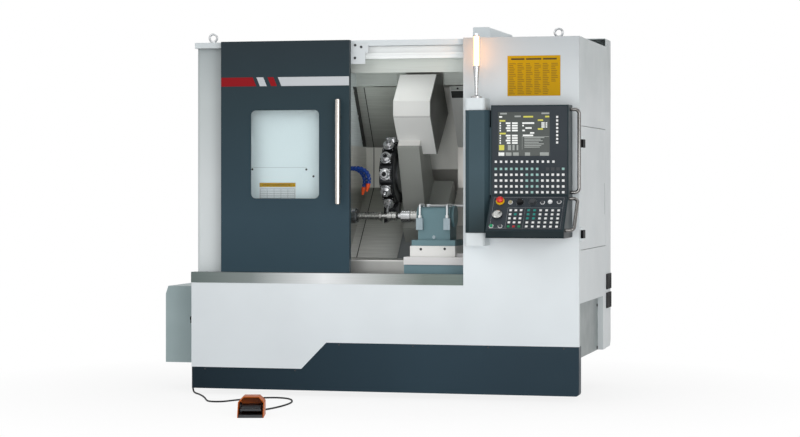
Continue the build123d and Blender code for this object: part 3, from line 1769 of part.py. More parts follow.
# Handwheel with its small crank knob
wheel_spot = desk_top.from_local_coords(Vector(*desk_spot(handwheel_shares), 0))
wheel_axis = Plane(origin=wheel_spot, x_dir=desk_plane.z_dir, z_dir=desk_plane.y_dir)
with BuildPart() as handwheel:
    turned(
        wheel_axis,
        [
            (running_gap, wheel_stem_radius),
            (wheel_stand, wheel_stem_radius),
            (wheel_stand, wheel_radius),
            (wheel_stand + wheel_height / 2, wheel_radius),
            (wheel_stand + wheel_height, wheel_radius * wheel_knob_share),
        ],
    )
    crank_spot = wheel_spot + desk_plane.x_dir * (wheel_radius * wheel_knob_share * wheel_knob_share)
    crank_axis = Plane(origin=crank_spot, x_dir=desk_plane.z_dir, z_dir=desk_plane.y_dir)
    turned(
        crank_axis,
        [
            (wheel_stand, wheel_knob_radius),
            (wheel_stand + wheel_height + wheel_knob_height, wheel_knob_radius),
        ],
    )
save(handwheel, "handwheel")

# Feed override knob with a pointer rib
feed_spot = desk_top.from_local_coords(Vector(*desk_spot(feed_knob_shares), 0))
feed_axis = Plane(origin=feed_spot, x_dir=desk_plane.z_dir, z_dir=desk_plane.y_dir)
with BuildPart() as feed_knob:
    turned(
        feed_axis,
        [
            (running_gap, knob_skirt_radius),
            (knob_skirt_height, knob_skirt_radius),
            (knob_skirt_height, knob_radius),
            (knob_height, knob_radius),
        ],
    )
    with BuildSketch(desk_top.offset(knob_height)) as pointer:
        with Locations(desk_spot(feed_knob_shares)):
            Rectangle(knob_skirt_height, 2 * knob_radius - knob_skirt_height)
    extrude(pointer.sketch, amount=knob_skirt_height)
save(feed_knob, "feed_knob")


def grab_bar(foot, head, reach):
    """A bent tube between two feet on the right side of the housing."""
    with BuildLine(mode=Mode.PRIVATE) as path:
        FilletPolyline(foot, foot + reach, head + reach, head, radius=grab_bend)
    with BuildSketch(Plane(origin=foot, z_dir=reach)) as section:
        Circle(grab_radius)
    sweep(section.sketch, path=path.wires()[0])


# Two grab bars on the right side of the pendant
housing_x1 = housing_x + housing_width
grab_y = housing_face_y + (housing_back_y - housing_face_y) * grab_face_share
grab_out = Vector(grab_reach - grab_radius, 0, 0)
with BuildPart() as panel_handles:
    upper_foot = Vector(housing_x1, grab_y, keypad_bottom + grab_end_inset)
    upper_head = Vector(housing_x1, grab_y, housing_top - grab_end_inset - grab_radius)
    grab_bar(upper_foot, upper_head, grab_out)
    down_slope = -desk_plane.y_dir
    lower_head = Vector(housing_x1, housing_face_y, keypad_bottom) - desk_plane.z_dir * grab_end_inset * 2
    lower_foot = lower_head + down_slope * (desk_length - 2 * grab_end_inset)
    grab_bar(lower_foot, lower_head, grab_out)
save(panel_handles, "panel_handles")

# Signal lamp on the top bracket
lamp_z = top_bracket_bottom + top_bracket_height
lamp_axis = Plane(origin=(pendant_x, pendant_y, lamp_z), x_dir=(0, 0, 1), z_dir=(1, 0, 0))
with BuildPart() as lamp_stem:
    cone_foot = lamp_base_height + lamp_stem_height
    cone_top = cone_foot + lamp_cone_height
    turned(
        lamp_axis,
        [
            (0, lamp_base_radius),
            (lamp_base_height / 2, lamp_base_radius),
            (lamp_base_height, lamp_stem_radius),
            (cone_foot, lamp_stem_radius),
            (cone_top, lamp_cone_radius),
        ],
    )
    tube_top = cone_top + lamp_tube_height
    turned(
        lamp_axis,
        [
            (tube_top, lamp_cap_radius),
            (tube_top + lamp_cap_height / 2, lamp_cap_radius),
            (tube_top + lamp_cap_height, lamp_cap_radius / 2),
        ],
    )
save(lamp_stem, "lamp_stem")

with BuildPart() as lamp_lens:
    turned(lamp_axis, [(cone_top, lamp_tube_radius), (tube_top, lamp_tube_radius)])
save(lamp_lens, "lamp_lens")

# Door panel: a folded tray with a rounded window
window_x0 = door_x0 + window_left
window_z0 = door_z0 + window_rise
window_middle = (window_x0 + window_width / 2, window_z0 + window_height / 2)
with BuildPart() as door_panel:
    block(door_x0, door_x1, front_y, front_y + door_thickness, door_z0, door_z1)
    offset(amount=-sheet, openings=door_panel.faces().sort_by(Axis.Y)[-1], kind=Kind.INTERSECTION)
    with BuildSketch(facing(front_y)) as window_hole:
        with Locations(window_middle):
            RectangleRounded(window_width, window_height, window_radius)
    extrude(window_hole.sketch, amount=-sheet, mode=Mode.SUBTRACT)
save(door_panel, "door_panel")

with BuildPart() as door_window:
    with BuildSketch(facing(front_y + sheet)) as glass_outline:
        with Locations(window_middle):
            RectangleRounded(window_width + 2 * glass_lap, window_height + 2 * glass_lap, window_radius)
    extrude(glass_outline.sketch, amount=-glass_thickness)
save(door_window, "door_window")

# Door handle: a bar on two posts
handle_x = door_x1 - handle_inset
handle_y = front_y - handle_stand - handle_radius
handle_z0 = door_z0 + handle_rise
with BuildPart() as door_handle:
    handle_line = Plane(origin=(handle_x, handle_y, handle_z0), x_dir=(0, 0, 1), z_dir=(1, 0, 0))
    turned(
        handle_line,
        [
            (0, handle_radius - sheet),
            (sheet, handle_radius),
            (handle_length - sheet, handle_radius),
            (handle_length, handle_radius - sheet),
        ],
    )
    post_drop = handle_length * handle_post_inset_share
    for post_z in (handle_z0 + post_drop, handle_z0 + handle_length - post_drop):
        with BuildSketch(facing(front_y)) as handle_post:
            with Locations((handle_x, post_z)):
                Circle(handle_post_radius)
        extrude(handle_post.sketch, amount=front_y - handle_y)
save(door_handle, "door_handle")

# Hangers: a bracket behind the door with a roller on the rail
roller_z = rail_z + rail_height + roller_radius + running_gap
hanger_y = front_y + door_thickness
with BuildPart() as door_hangers:
    for hanger_x in (door_x0 + hanger_inset, door_x1 - hanger_inset):
        hanger_top = roller_z + roller_radius / 2
        hanger_bottom = hanger_top - hanger_height
        block(
            hanger_x - hanger_width / 2,
            hanger_x + hanger_width / 2,
            hanger_y,
            hanger_y + hanger_plate,
            hanger_bottom,
            hanger_top,
        )
        roller_y = beam_y - rail_depth / 2
        with BuildSketch(facing(roller_y + roller_width / 2)) as roller:
            with Locations((hanger_x, roller_z)):
                Circle(roller_radius)
        extrude(roller.sketch, amount=roller_width)
        with BuildSketch(facing(roller_y + roller_width / 2)) as axle:
            with Locations((hanger_x, roller_z)):
                Circle(roller_bore)
        extrude(axle.sketch, amount=roller_y + roller_width / 2 - hanger_y)
        tab_z = hanger_bottom + hanger_plate
        block(
            hanger_x - hanger_width / 2,
            hanger_x + hanger_width / 2,
            front_y + sheet,
            hanger_y,
            tab_z,
            tab_z + hanger_plate,
        )
    plate_outline = [
        (door_x1 - plate_lap, body_height - plate_bottom_drop),
        (door_x1 + plate_reach, body_height - plate_bottom_drop),
        (door_x1 + plate_reach, body_height - plate_step_drop),
        (door_x1 + plate_reach + plate_step_reach, body_height - plate_step_drop),
        (door_x1 + plate_reach + plate_step_reach, body_height - plate_top_drop),
        (door_x1 + plate_reach - plate_step_inset, body_height - plate_top_drop),
        (door_x1 - plate_lap, body_height - plate_top_drop),
    ]
    prism(facing(hanger_y), plate_outline, -plate_thickness)
save(door_hangers, "door_hangers")

# Side door: a folded tray with a recessed pull
with BuildPart() as side_door:
    block(
        x_right - side_door_depth,
        x_right,
        behind(side_door_front_setback),
        rear_y - side_door_rear_inset,
        side_door_bottom,
        side_door_top,
    )
    offset(amount=-sheet, openings=side_door.faces().sort_by(Axis.X)[0], kind=Kind.INTERSECTION)
    latch_y = rear_y - side_door_rear_inset - latch_inset
    latch_top = latch_bottom + latch_height
    block(
        x_right - latch_depth - sheet,
        x_right - sheet,
        latch_y - latch_width - sheet,
        latch_y + sheet,
        latch_bottom - sheet,
        latch_top + sheet,
    )
    block(
        x_right - latch_depth,
        x_right,
        latch_y - latch_width,
        latch_y,
        latch_bottom,
        latch_top,
        mode=Mode.SUBTRACT,
    )
save(side_door, "side_door")

with BuildPart() as side_door_hinges:
    for hinge_bottom in hinge_bottoms:
        with BuildSketch(Plane.XY.offset(hinge_bottom)) as leaf:
            with Locations((hinge_x, hinge_y)):
                Circle(hinge_radius)
            with Locations((hinge_x, hinge_y + hinge_leaf_reach / 2)):
                Rectangle(2 * hinge_radius, hinge_leaf_reach)
            with Locations((hinge_x, hinge_y)):
                Circle(hinge_pin_radius + shaft_gap, mode=Mode.SUBTRACT)
        extrude(leaf.sketch, amount=hinge_height)
save(side_door_hinges, "side_door_hinges")

# Foot switch, turned towards the operator: x to its right, y to its back
switch_turn_cos = math.cos(math.radians(switch_turn))
switch_turn_sin = math.sin(math.radians(switch_turn))
switch_plane = Plane(
    origin=(along(switch_place), front_y - switch_reach, 0),
    x_dir=(switch_turn_cos, switch_turn_sin, 0),
    z_dir=(0, 0, 1),
)
switch_front = Plane(
    origin=switch_plane.origin,
    x_dir=switch_plane.x_dir,
    z_dir=-switch_plane.y_dir,
)
switch_side = Plane(
    origin=switch_plane.origin,
    x_dir=switch_plane.y_dir,
    z_dir=switch_plane.x_dir,
)
pedal_axis_y = switch_length - pedal_axis_inset
with BuildPart() as foot_switch_base:
    base_half = switch_width / 2 - switch_wall - running_gap
    with BuildSketch(switch_plane) as switch_foot:
        with Locations((0, (switch_length - switch_wall - running_gap) / 2)):
            RectangleRounded(2 * base_half, switch_length - switch_wall - running_gap, switch_wall)
    extrude(switch_foot.sketch, amount=switch_base_height)
    for side in (-1, 1):
        lug_x = side * (pedal_width / 2 + running_gap)
        with BuildSketch(switch_side.offset(lug_x)) as ear:
            with Locations((pedal_axis_y, pedal_axis_height / 2 + switch_base_height / 2)):
                Rectangle(pedal_lug * 2, pedal_axis_height - switch_base_height)
            with Locations((pedal_axis_y, pedal_axis_height)):
                Circle(pedal_lug)
                Circle(pedal_axle_radius + shaft_gap, mode=Mode.SUBTRACT)
        extrude(ear.sketch, amount=side * (base_half - pedal_width / 2 - running_gap))
save(foot_switch_base, "foot_switch_base")

with BuildPart() as foot_switch_guard:
    half = switch_width / 2
    with BuildSketch(switch_front) as guard_section:
        with BuildLine():
            Polyline(
                (-half, 0),
                (-half, switch_height - switch_chamfer),
                (-half + switch_chamfer, switch_height),
                (half - switch_chamfer, switch_height),
                (half, switch_height - switch_chamfer),
                (half, 0),
                close=True,
            )
        make_face()
    extrude(guard_section.sketch, amount=-switch_length)
    guard_mouths = [
        face
        for face in foot_switch_guard.faces()
        if face.normal_at().Z < -slant_sin or face.normal_at().dot(switch_front.z_dir) > slant_sin
    ]
    offset(amount=-switch_wall, openings=guard_mouths, kind=Kind.INTERSECTION)
    brow = switch_length * switch_brow_share
    with BuildSketch(switch_side.offset(-half - overrun)) as brow_cut:
        with BuildLine():
            Polyline(
                (-overrun, switch_base_height),
                (0, switch_base_height),
                (brow, switch_height),
                (brow, switch_height + overrun),
                (-overrun, switch_height + overrun),
                close=True,
            )
        make_face()
    extrude(brow_cut.sketch, amount=switch_width + 2 * overrun, mode=Mode.SUBTRACT)
save(foot_switch_guard, "foot_switch_guard")

# Pedal on its axle, ribbed on top
with BuildPart() as foot_pedal:
    pedal_back = pedal_axis_y + pedal_axle_radius * 2
    pedal_front = pedal_axis_y - pedal_length
    pedal_drop = pedal_length * math.tan(math.radians(pedal_tilt))
    pedal_outline = [
        (pedal_back, pedal_axis_height - pedal_thickness / 2),
        (pedal_back, pedal_axis_height + pedal_thickness),
        (pedal_axis_y, pedal_axis_height + pedal_thickness),
        (pedal_front, pedal_axis_height + pedal_thickness / 2 - pedal_drop),
        (pedal_front, pedal_axis_height - pedal_thickness / 2 - pedal_drop),
        (pedal_axis_y, pedal_axis_height - pedal_thickness / 2),
    ]
    prism(switch_side.offset(-pedal_width / 2), pedal_outline, pedal_width)
    rib_pitch = pedal_length / (pedal_ribs + 1)
    for rib in range(pedal_ribs):
        rib_y0 = pedal_front + (rib + 1) * rib_pitch - pedal_rib / 2
        rib_base = pedal_axis_height - (pedal_axis_y - rib_y0) / pedal_length * pedal_drop
        rib_lift = pedal_thickness / 2 + pedal_rib
        pedal_rib_outline = [
            (rib_y0, rib_base),
            (rib_y0 + pedal_rib, rib_base),
            (rib_y0 + pedal_rib, rib_base + rib_lift),
            (rib_y0, rib_base + rib_lift),
        ]
        prism(switch_side.offset(-pedal_width / 2 + pedal_rib), pedal_rib_outline, pedal_width - 2 * pedal_rib)
    with BuildSketch(switch_side.offset(-base_half)) as axle_section:
        with Locations((pedal_axis_y, pedal_axis_height)):
            Circle(pedal_axle_radius)
    extrude(axle_section.sketch, amount=2 * base_half)
save(foot_pedal, "foot_pedal")

# Cord glands: an elbow on the machine's left side and a straight one on the switch
gland_y = behind(gland_setback)
elbow_x = x_left - gland_reach
gland_end = switch_length + gland_length
cord_points = [
    Vector(elbow_x, gland_y, gland_height - gland_length),
    *[Vector(along(place), behind(setback), height) for place, setback, height in cord_route],
    switch_plane.from_local_coords(Vector(0, gland_end + cord_lead, switch_gland_height)),
    switch_plane.from_local_coords(Vector(0, gland_end, switch_gland_height)),
]
with BuildPart() as cord_glands:
    with BuildSketch(Plane(origin=(base_x0, gland_y, gland_height), x_dir=(0, 1, 0), z_dir=(-1, 0, 0))) as elbow:
        Circle(gland_radius)
    extrude(elbow.sketch, amount=base_x0 - elbow_x + gland_radius)
    with BuildSketch(Plane.XY.offset(gland_height - gland_length)) as elbow_drop:
        with Locations((elbow_x, gland_y)):
            Circle(gland_radius)
    extrude(elbow_drop.sketch, amount=gland_length + gland_radius)
    with BuildSketch(Plane(origin=cord_points[-1], z_dir=switch_front.z_dir)) as switch_gland:
        Circle(switch_gland_radius)
    extrude(switch_gland.sketch, amount=gland_length)
save(cord_glands, "cord_glands")

# Cord: straight runs joined by arcs as large as the runs allow
cord_radii = []
for before, corner, after in zip(cord_points, cord_points[1:], cord_points[2:]):
    turn_angle = (corner - before).get_angle(after - corner)
    shorter = min((corner - before).length, (after - corner).length)
    cord_radii.append(cord_run_share * shorter / math.tan(math.radians(turn_angle / 2)))
with BuildPart() as pedal_cord:
    with BuildLine() as cord_path:
        FilletPolyline(*cord_points, radius=cord_radii)
    with BuildSketch(Plane(origin=cord_points[0], z_dir=cord_points[1] - cord_points[0])):
        Circle(cord_radius)
    sweep(path=cord_path.line)
save(pedal_cord, "pedal_cord")
cord_length = cord_path.wires()[0].length
cord_volume = math.pi * cord_radius**2 * cord_length
print("cord radii", [round(radius) for radius in cord_radii])
print("cord length", round(cord_length), "volume share", round(pedal_cord.part.volume / cord_volume, 4))
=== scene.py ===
import math

import bmesh
import bpy
from mathutils import Matrix, Vector


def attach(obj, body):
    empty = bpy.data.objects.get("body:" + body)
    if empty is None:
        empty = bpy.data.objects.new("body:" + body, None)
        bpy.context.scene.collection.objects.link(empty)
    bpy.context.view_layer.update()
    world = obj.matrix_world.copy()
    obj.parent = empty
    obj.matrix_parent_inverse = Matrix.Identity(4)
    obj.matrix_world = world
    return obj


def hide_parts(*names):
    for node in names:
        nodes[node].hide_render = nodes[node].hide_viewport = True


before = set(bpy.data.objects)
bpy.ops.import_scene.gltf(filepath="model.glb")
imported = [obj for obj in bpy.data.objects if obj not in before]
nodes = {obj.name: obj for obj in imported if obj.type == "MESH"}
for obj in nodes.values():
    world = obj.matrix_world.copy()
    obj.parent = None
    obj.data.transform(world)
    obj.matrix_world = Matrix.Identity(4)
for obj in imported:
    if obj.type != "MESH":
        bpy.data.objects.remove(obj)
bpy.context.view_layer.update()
scene = bpy.context.scene
scene.view_settings.view_transform = "Standard"

# Places shared with the solids, in metres
X_LEFT = -0.9605
FRONT = -0.418
MM_PER_METRE = 1000
TURRET_Y = 0.10898
TURRET_Z = 1.18498


def along(place):
    """Metres along the machine, from millimetres right of its left end."""
    return X_LEFT + place / MM_PER_METRE


def behind(setback):
    """Metres from front to back, from millimetres behind the front cover."""
    return FRONT + setback / MM_PER_METRE


# Desk plate of the control panel: right, up the slope, out of the plate
DESK_SLOPE = math.atan2(0.182, 0.150)
DESK_FOOT_Z = 0.893
DESK = Matrix.Translation((0.7205, -0.718, DESK_FOOT_Z)) @ Matrix.Rotation(DESK_SLOPE, 4, "X")
DESK_MARGIN = 0.008
DESK_WIDTH = 0.388
DESK_LENGTH = 0.21985


def desk_spot(across, up, out=0.0):
    """A place on the desk plate, given as shares of its width and length and a height above it."""
    return Vector((DESK_MARGIN + DESK_WIDTH * across, DESK_MARGIN + DESK_LENGTH * up, out))


# Node helpers

def new_group(name, inputs, outputs):
    group = bpy.data.node_groups.new(name, "ShaderNodeTree")
    for label, kind, value in inputs:
        made = group.interface.new_socket(name=label, in_out="INPUT", socket_type=kind)
        made.default_value = value
    for label, kind in outputs:
        group.interface.new_socket(name=label, in_out="OUTPUT", socket_type=kind)
    return group, group.nodes.new("NodeGroupInput"), group.nodes.new("NodeGroupOutput")


def fill(tree, socket, given):
    """Link a socket to an output, or give it a plain value."""
    if isinstance(given, bpy.types.NodeSocket):
        tree.links.new(given, socket)
    else:
        socket.default_value = given


def object_spot(tree):
    return tree.nodes.new("ShaderNodeTexCoord").outputs["Object"]


def split(tree, vector):
    node = tree.nodes.new("ShaderNodeSeparateXYZ")
    tree.links.new(vector, node.inputs[0])
    return node.outputs


def math_node(tree, operation, *given):
    node = tree.nodes.new("ShaderNodeMath")
    node.operation = operation
    for socket, value in zip(node.inputs, given):
        fill(tree, socket, value)
    return node.outputs[0]


def vector_node(tree, operation, *given):
    node = tree.nodes.new("ShaderNodeVectorMath")
    node.operation = operation
    for socket, value in zip(node.inputs, given):
        fill(tree, socket, value)
    return node.outputs


def range_node(tree, value, low, high, to_low, to_high):
    node = tree.nodes.new("ShaderNodeMapRange")
    tree.links.new(value, node.inputs["Value"])
    for name, given in (("From Min", low), ("From Max", high), ("To Min", to_low), ("To Max", to_high)):
        node.inputs[name].default_value = given
    return node.outputs["Result"]


def mix_colours(tree, factor, first, second):
    node = tree.nodes.new("ShaderNodeMix")
    node.data_type = "RGBA"
    tree.links.new(factor, node.inputs["Factor"])
    sockets = [socket for socket in node.inputs if socket.type == "RGBA"]
    for socket, given in zip(sockets, (first, second)):
        fill(tree, socket, (*given, 1) if isinstance(given, tuple) else given)
    return [socket for socket in node.outputs if socket.type == "RGBA"][0]


def noise(tree, vector, scale, detail=3.0):
    node = tree.nodes.new("ShaderNodeTexNoise")
    node.inputs["Detail"].default_value = detail
    fill(tree, node.inputs["Scale"], scale)
    tree.links.new(vector, node.inputs["Vector"])
    return node.outputs["Fac"]


COLOUR = "NodeSocketColor"
VALUE = "NodeSocketFloat"
VECTOR = "NodeSocketVector"
FAR = 9

# Sprayed paint: faint clouding of the colour, an orange-peel height and patches of gloss
CLOUD_SCALE = 1.7
PATCH_SCALE = 9.0
PATCH_SPREAD = 0.06
paint, enter, leave = new_group(
    "sprayed_paint",
    [
        ("Paint", COLOUR, (1, 1, 1, 1)),
        ("Shade", COLOUR, (0, 0, 0, 1)),
        ("Gloss", VALUE, 0.35),
        ("Peel", VALUE, 220),
    ],
    [("Color", COLOUR), ("Roughness", VALUE), ("Height", VALUE)],
)
spot = object_spot(paint)
cloud = range_node(paint, noise(paint, spot, CLOUD_SCALE), 0.35, 0.7, 0, 1)
clouded = mix_colours(paint, cloud, enter.outputs["Paint"], enter.outputs["Shade"])
paint.links.new(clouded, leave.inputs["Color"])
patch = noise(paint, spot, PATCH_SCALE, detail=5.0)
spread = range_node(paint, patch, 0.3, 0.7, -PATCH_SPREAD, PATCH_SPREAD)
paint.links.new(math_node(paint, "ADD", enter.outputs["Gloss"], spread), leave.inputs["Roughness"])
paint.links.new(noise(paint, spot, enter.outputs["Peel"], detail=2.0), leave.inputs["Height"])

# Brushed metal: fine streaks along one direction and slow changes of tone
TONE_SCALE = 2.3
STREAK_SHARE = 0.6
TONE_SHARE = 0.4
STREAK_SPREAD = 0.07
brush, enter, leave = new_group(
    "brushed_metal",
    [
        ("Metal", COLOUR, (1, 1, 1, 1)),
        ("Streak", COLOUR, (0, 0, 0, 1)),
        ("Grain", VECTOR, (4, 300, 300)),
        ("Gloss", VALUE, 0.3),
    ],
    [("Color", COLOUR), ("Roughness", VALUE), ("Height", VALUE)],
)
spot = object_spot(brush)
stretched = vector_node(brush, "MULTIPLY", spot, enter.outputs["Grain"])[0]
streak = noise(brush, stretched, 1.0, detail=4.0)
tone = noise(brush, spot, TONE_SCALE, detail=2.0)
streak_part = math_node(brush, "MULTIPLY", streak, STREAK_SHARE)
tone_part = math_node(brush, "MULTIPLY", tone, TONE_SHARE)
amount = range_node(brush, math_node(brush, "ADD", streak_part, tone_part), 0.35, 0.65, 0, 1)
streaked = mix_colours(brush, amount, enter.outputs["Metal"], enter.outputs["Streak"])
brush.links.new(streaked, leave.inputs["Color"])
spread = range_node(brush, streak, 0.3, 0.7, -STREAK_SPREAD, STREAK_SPREAD)
brush.links.new(math_node(brush, "ADD", enter.outputs["Gloss"], spread), leave.inputs["Roughness"])
brush.links.new(streak, leave.inputs["Height"])

# Band: one inside a box between two corners
band, enter, leave = new_group(
    "band_mask",
    [("Low", VECTOR, (-FAR, -FAR, -FAR)), ("High", VECTOR, (FAR, FAR, FAR))],
    [("Mask", VALUE)],
)
spot = split(band, object_spot(band))
low = split(band, enter.outputs["Low"])
high = split(band, enter.outputs["High"])
inside = None
for axis in "XYZ":
    above = math_node(band, "GREATER_THAN", spot[axis], low[axis])
    below = math_node(band, "LESS_THAN", spot[axis], high[axis])
    here = math_node(band, "MULTIPLY", above, below)
    inside = here if inside is None else math_node(band, "MULTIPLY", inside, here)
band.links.new(inside, leave.inputs["Mask"])

# Hub: one within a radius of a line along the spindle
hub, enter, leave = new_group(
    "hub_mask",
    [("Centre", VECTOR, (0, 0, 0)), ("Radius", VALUE, 0.1)],
    [("Mask", VALUE)],
)
shifted = vector_node(hub, "SUBTRACT", object_spot(hub), enter.outputs["Centre"])[0]
across_line = vector_node(hub, "MULTIPLY", shifted, (0, 1, 1))[0]
distance = vector_node(hub, "LENGTH", across_line)["Value"]
hub.links.new(math_node(hub, "LESS_THAN", distance, enter.outputs["Radius"]), leave.inputs["Mask"])


# Material helpers

def start_material(name):
    material = bpy.data.materials.new(name)
    material.use_nodes = True
    return material, material.node_tree, material.node_tree.nodes["Principled BSDF"]


def place_group(tree, group, **values):
    node = tree.nodes.new("ShaderNodeGroup")
    node.node_tree = group
    for name, value in values.items():
        node.inputs[name].default_value = value
    return node


def bump(tree, shader, height, strength, distance):
    node = tree.nodes.new("ShaderNodeBump")
    node.inputs["Strength"].default_value = strength
    node.inputs["Distance"].default_value = distance
    tree.links.new(height, node.inputs["Height"])
    tree.links.new(node.outputs["Normal"], shader.inputs["Normal"])


def box(x=(-FAR, FAR), y=(-FAR, FAR), z=(-FAR, FAR)):
    """Low and high corner of a box, with no limits along an axis that isn't given."""
    return tuple(zip(x, y, z))


def desk_box(across, up, half):
    """Low and high corner of a box round a knob or button of the desk plate."""
    middle = DESK @ desk_spot(across, up, 0.010)
    return [tuple(value + side * half for value in middle) for side in (-1, 1)]


def place_bands(tree, colour, bands):
    """Paint over a colour inside each box given as low corner, high corner and colour."""
    for lowest, highest, shade in bands:
        mask = place_group(tree, band, Low=lowest, High=highest)
        colour = mix_colours(tree, mask.outputs["Mask"], colour, shade)
    return colour


def tones_along(tree, share, axis, tones):
    """Slow change along one axis, given as places and colours, with each colour times a share."""
    low, high = tones[0][0], tones[-1][0]
    place = split(tree, object_spot(tree))[axis]
    ramp = tree.nodes.new("ShaderNodeValToRGB")
    tree.links.new(range_node(tree, place, low, high, 0, 1), ramp.inputs["Fac"])
    stops = ramp.color_ramp.elements
    while len(stops) < len(tones):
        stops.new(0.5)
    for stop, (spot, colour) in zip(stops, tones):
        stop.position = (spot - low) / (high - low)
        stop.color = (*[value * share for value in colour], 1)
    return ramp.outputs["Color"]


def set_colours(tree, mixed, shares, colours, tones):
    """Two plain colours, or one slow change of tone at two shares of its brightness."""
    for index, (label, share) in enumerate(shares.items()):
        if tones is None:
            mixed.inputs[label].default_value = (*colours[index], 1)
        else:
            tree.links.new(tones_along(tree, share, *tones), mixed.inputs[label])


PAINT_SHARES = {"Paint": 0.96, "Shade": 0.89}
METAL_SHARES = {"Metal": 1.0, "Streak": 0.8}
PEEL_DEPTH = 0.001
STREAK_DEPTH = 0.0006


def painted(
    name, *colours, tones=None, gloss=0.38, peel=260, strength=0.05, bands=(), coat=0.0, shine=0.2,
):
    material, tree, shader = start_material(name)
    mixed = place_group(tree, paint, Gloss=gloss, Peel=peel)
    set_colours(tree, mixed, PAINT_SHARES, colours, tones)
    tree.links.new(place_bands(tree, mixed.outputs["Color"], bands), shader.inputs["Base Color"])
    tree.links.new(mixed.outputs["Roughness"], shader.inputs["Roughness"])
    shader.inputs["Coat Weight"].default_value = coat
    shader.inputs["Specular IOR Level"].default_value = shine
    bump(tree, shader, mixed.outputs["Height"], strength, PEEL_DEPTH)
    return material


def metal(
    name, *colours, tones=None, grain=(4, 300, 300), gloss=0.3, strength=0.05, bands=(), metallic=1.0,
    core=None,
):
    material, tree, shader = start_material(name)
    mixed = place_group(tree, brush, Grain=grain, Gloss=gloss)
    set_colours(tree, mixed, METAL_SHARES, colours, tones)
    surface = place_bands(tree, mixed.outputs["Color"], bands)
    if core is not None:
        centre, radius, core_colour = core
        mask = place_group(tree, hub, Centre=centre, Radius=radius)
        surface = mix_colours(tree, mask.outputs["Mask"], surface, core_colour)
    tree.links.new(surface, shader.inputs["Base Color"])
    tree.links.new(mixed.outputs["Roughness"], shader.inputs["Roughness"])
    shader.inputs["Metallic"].default_value = metallic
    bump(tree, shader, mixed.outputs["Height"], strength, STREAK_DEPTH)
    return material


# White paint of the covers, with painted light on the door beam and painted shade towards the tops of the
# front cover, end column and right side
white_panel = painted("white_panel", (0.70, 0.75, 0.77), (0.65, 0.70, 0.72))
# Painted light: the door beam is a brighter copy of the cover white, so it looks lit under the roof's shade
beam_white_painted_light = painted("beam_white_painted_light", (0.93, 0.96, 0.96), (0.88, 0.91, 0.91))
# Painted shade on the front cover: its white darkens towards the top, most above 1.6 m
front_shade_tones = [
    (0.30, (0.74, 0.79, 0.82)),
    (0.74, (0.78, 0.83, 0.855)),
    (1.60, (0.71, 0.755, 0.775)),
    (1.79, (0.575, 0.61, 0.63)),
    (1.89, (0.53, 0.565, 0.585)),
]
front_white_painted_shade = painted("front_white_painted_shade", tones=("Z", front_shade_tones))
# Painted shade on the end column: its white darkens towards the top
column_shade_tones = [
    (0.65, (0.74, 0.79, 0.80)),
    (1.15, (0.72, 0.765, 0.775)),
    (1.57, (0.61, 0.66, 0.665)),
    (1.87, (0.47, 0.52, 0.53)),
]
column_white_painted_shade = painted("column_white_painted_shade", tones=("Z", column_shade_tones))
guard_seam = box(x=(-0.66, -0.335), z=(1.2202, 1.2220))
guard_white = painted(
    "guard_white", (0.82, 0.89, 0.90), (0.76, 0.83, 0.84), bands=[(*guard_seam, (0.42, 0.46, 0.47))],
)
side_colour = (0.76, 0.805, 0.82)
# Painted shade on the right side, its door and the cabinet: their white darkens above 1.5 m
side_shade_tones = ("Z", [(0.0, side_colour), (1.50, side_colour), (1.80, (0.58, 0.63, 0.635))])
side_white_painted_shade = painted("side_white_painted_shade", tones=side_shade_tones)
# Painted shadow: a near-black patch on the side door stands in for the shade inside its recessed pull
pull_recess_painted_shadow = box(x=(1.10, 1.1541), y=(0.470, 0.4865), z=(0.963, 1.137))
side_door_white_painted_shade = painted("side_door_white_painted_shade", tones=side_shade_tones, bands=[(*pull_recess_painted_shadow, (0.008, 0.008, 0.009))])

# White paint of the cabinet: seams round its two doors, a warmer inner face, and the right side's painted
# shade towards the top
SEAM_HALF = 0.002
seam_grey = (0.12, 0.13, 0.135)
cabinet_rear = (0.716, FAR)
cabinet_doors_x = (-0.86, 0.08, 1.02)
cabinet_doors_z = (0.42, 1.92)
cabinet_bands = []
for x in cabinet_doors_x:
    upright = box(x=(x - SEAM_HALF, x + SEAM_HALF), y=cabinet_rear, z=cabinet_doors_z)
    cabinet_bands.append((*upright, seam_grey))
for z in cabinet_doors_z:
    doors_width = (cabinet_doors_x[0], cabinet_doors_x[-1])
    level = box(x=doors_width, y=cabinet_rear, z=(z - SEAM_HALF, z + SEAM_HALF))
    cabinet_bands.append((*level, seam_grey))
inner_face = box(x=(-0.90, 1.10), y=(-FAR, 0.7155), z=(0.9, 1.9))
cabinet_bands.append((*inner_face, (0.66, 0.655, 0.61)))
cabinet_white_painted_shade = painted("cabinet_white_painted_shade", tones=side_shade_tones, bands=cabinet_bands)

# Slate paint of the door, the kick plate and the control panel, each with painted shade
# Painted shade on the door: darker towards the top, lightest near 0.95 m
door_shade_tones = [
    (0.70, (0.029, 0.057, 0.076)),
    (0.95, (0.035, 0.065, 0.086)),
    (1.575, (0.027, 0.048, 0.059)),
    (1.87, (0.025, 0.039, 0.048)),
]
door_slate_painted_shade = painted("door_slate_painted_shade", tones=("Z", door_shade_tones), gloss=0.36, shine=0.12)
# Painted shade on the kick plate: darker towards its left end
plinth_shade_tones = [
    (-0.96, (0.010, 0.021, 0.030)),
    (0.33, (0.025, 0.049, 0.068)),
    (1.15, (0.021, 0.041, 0.057)),
]
plinth_panel_painted_shade = painted("plinth_panel_painted_shade", tones=("X", plinth_shade_tones), gloss=0.4, shine=0.1)
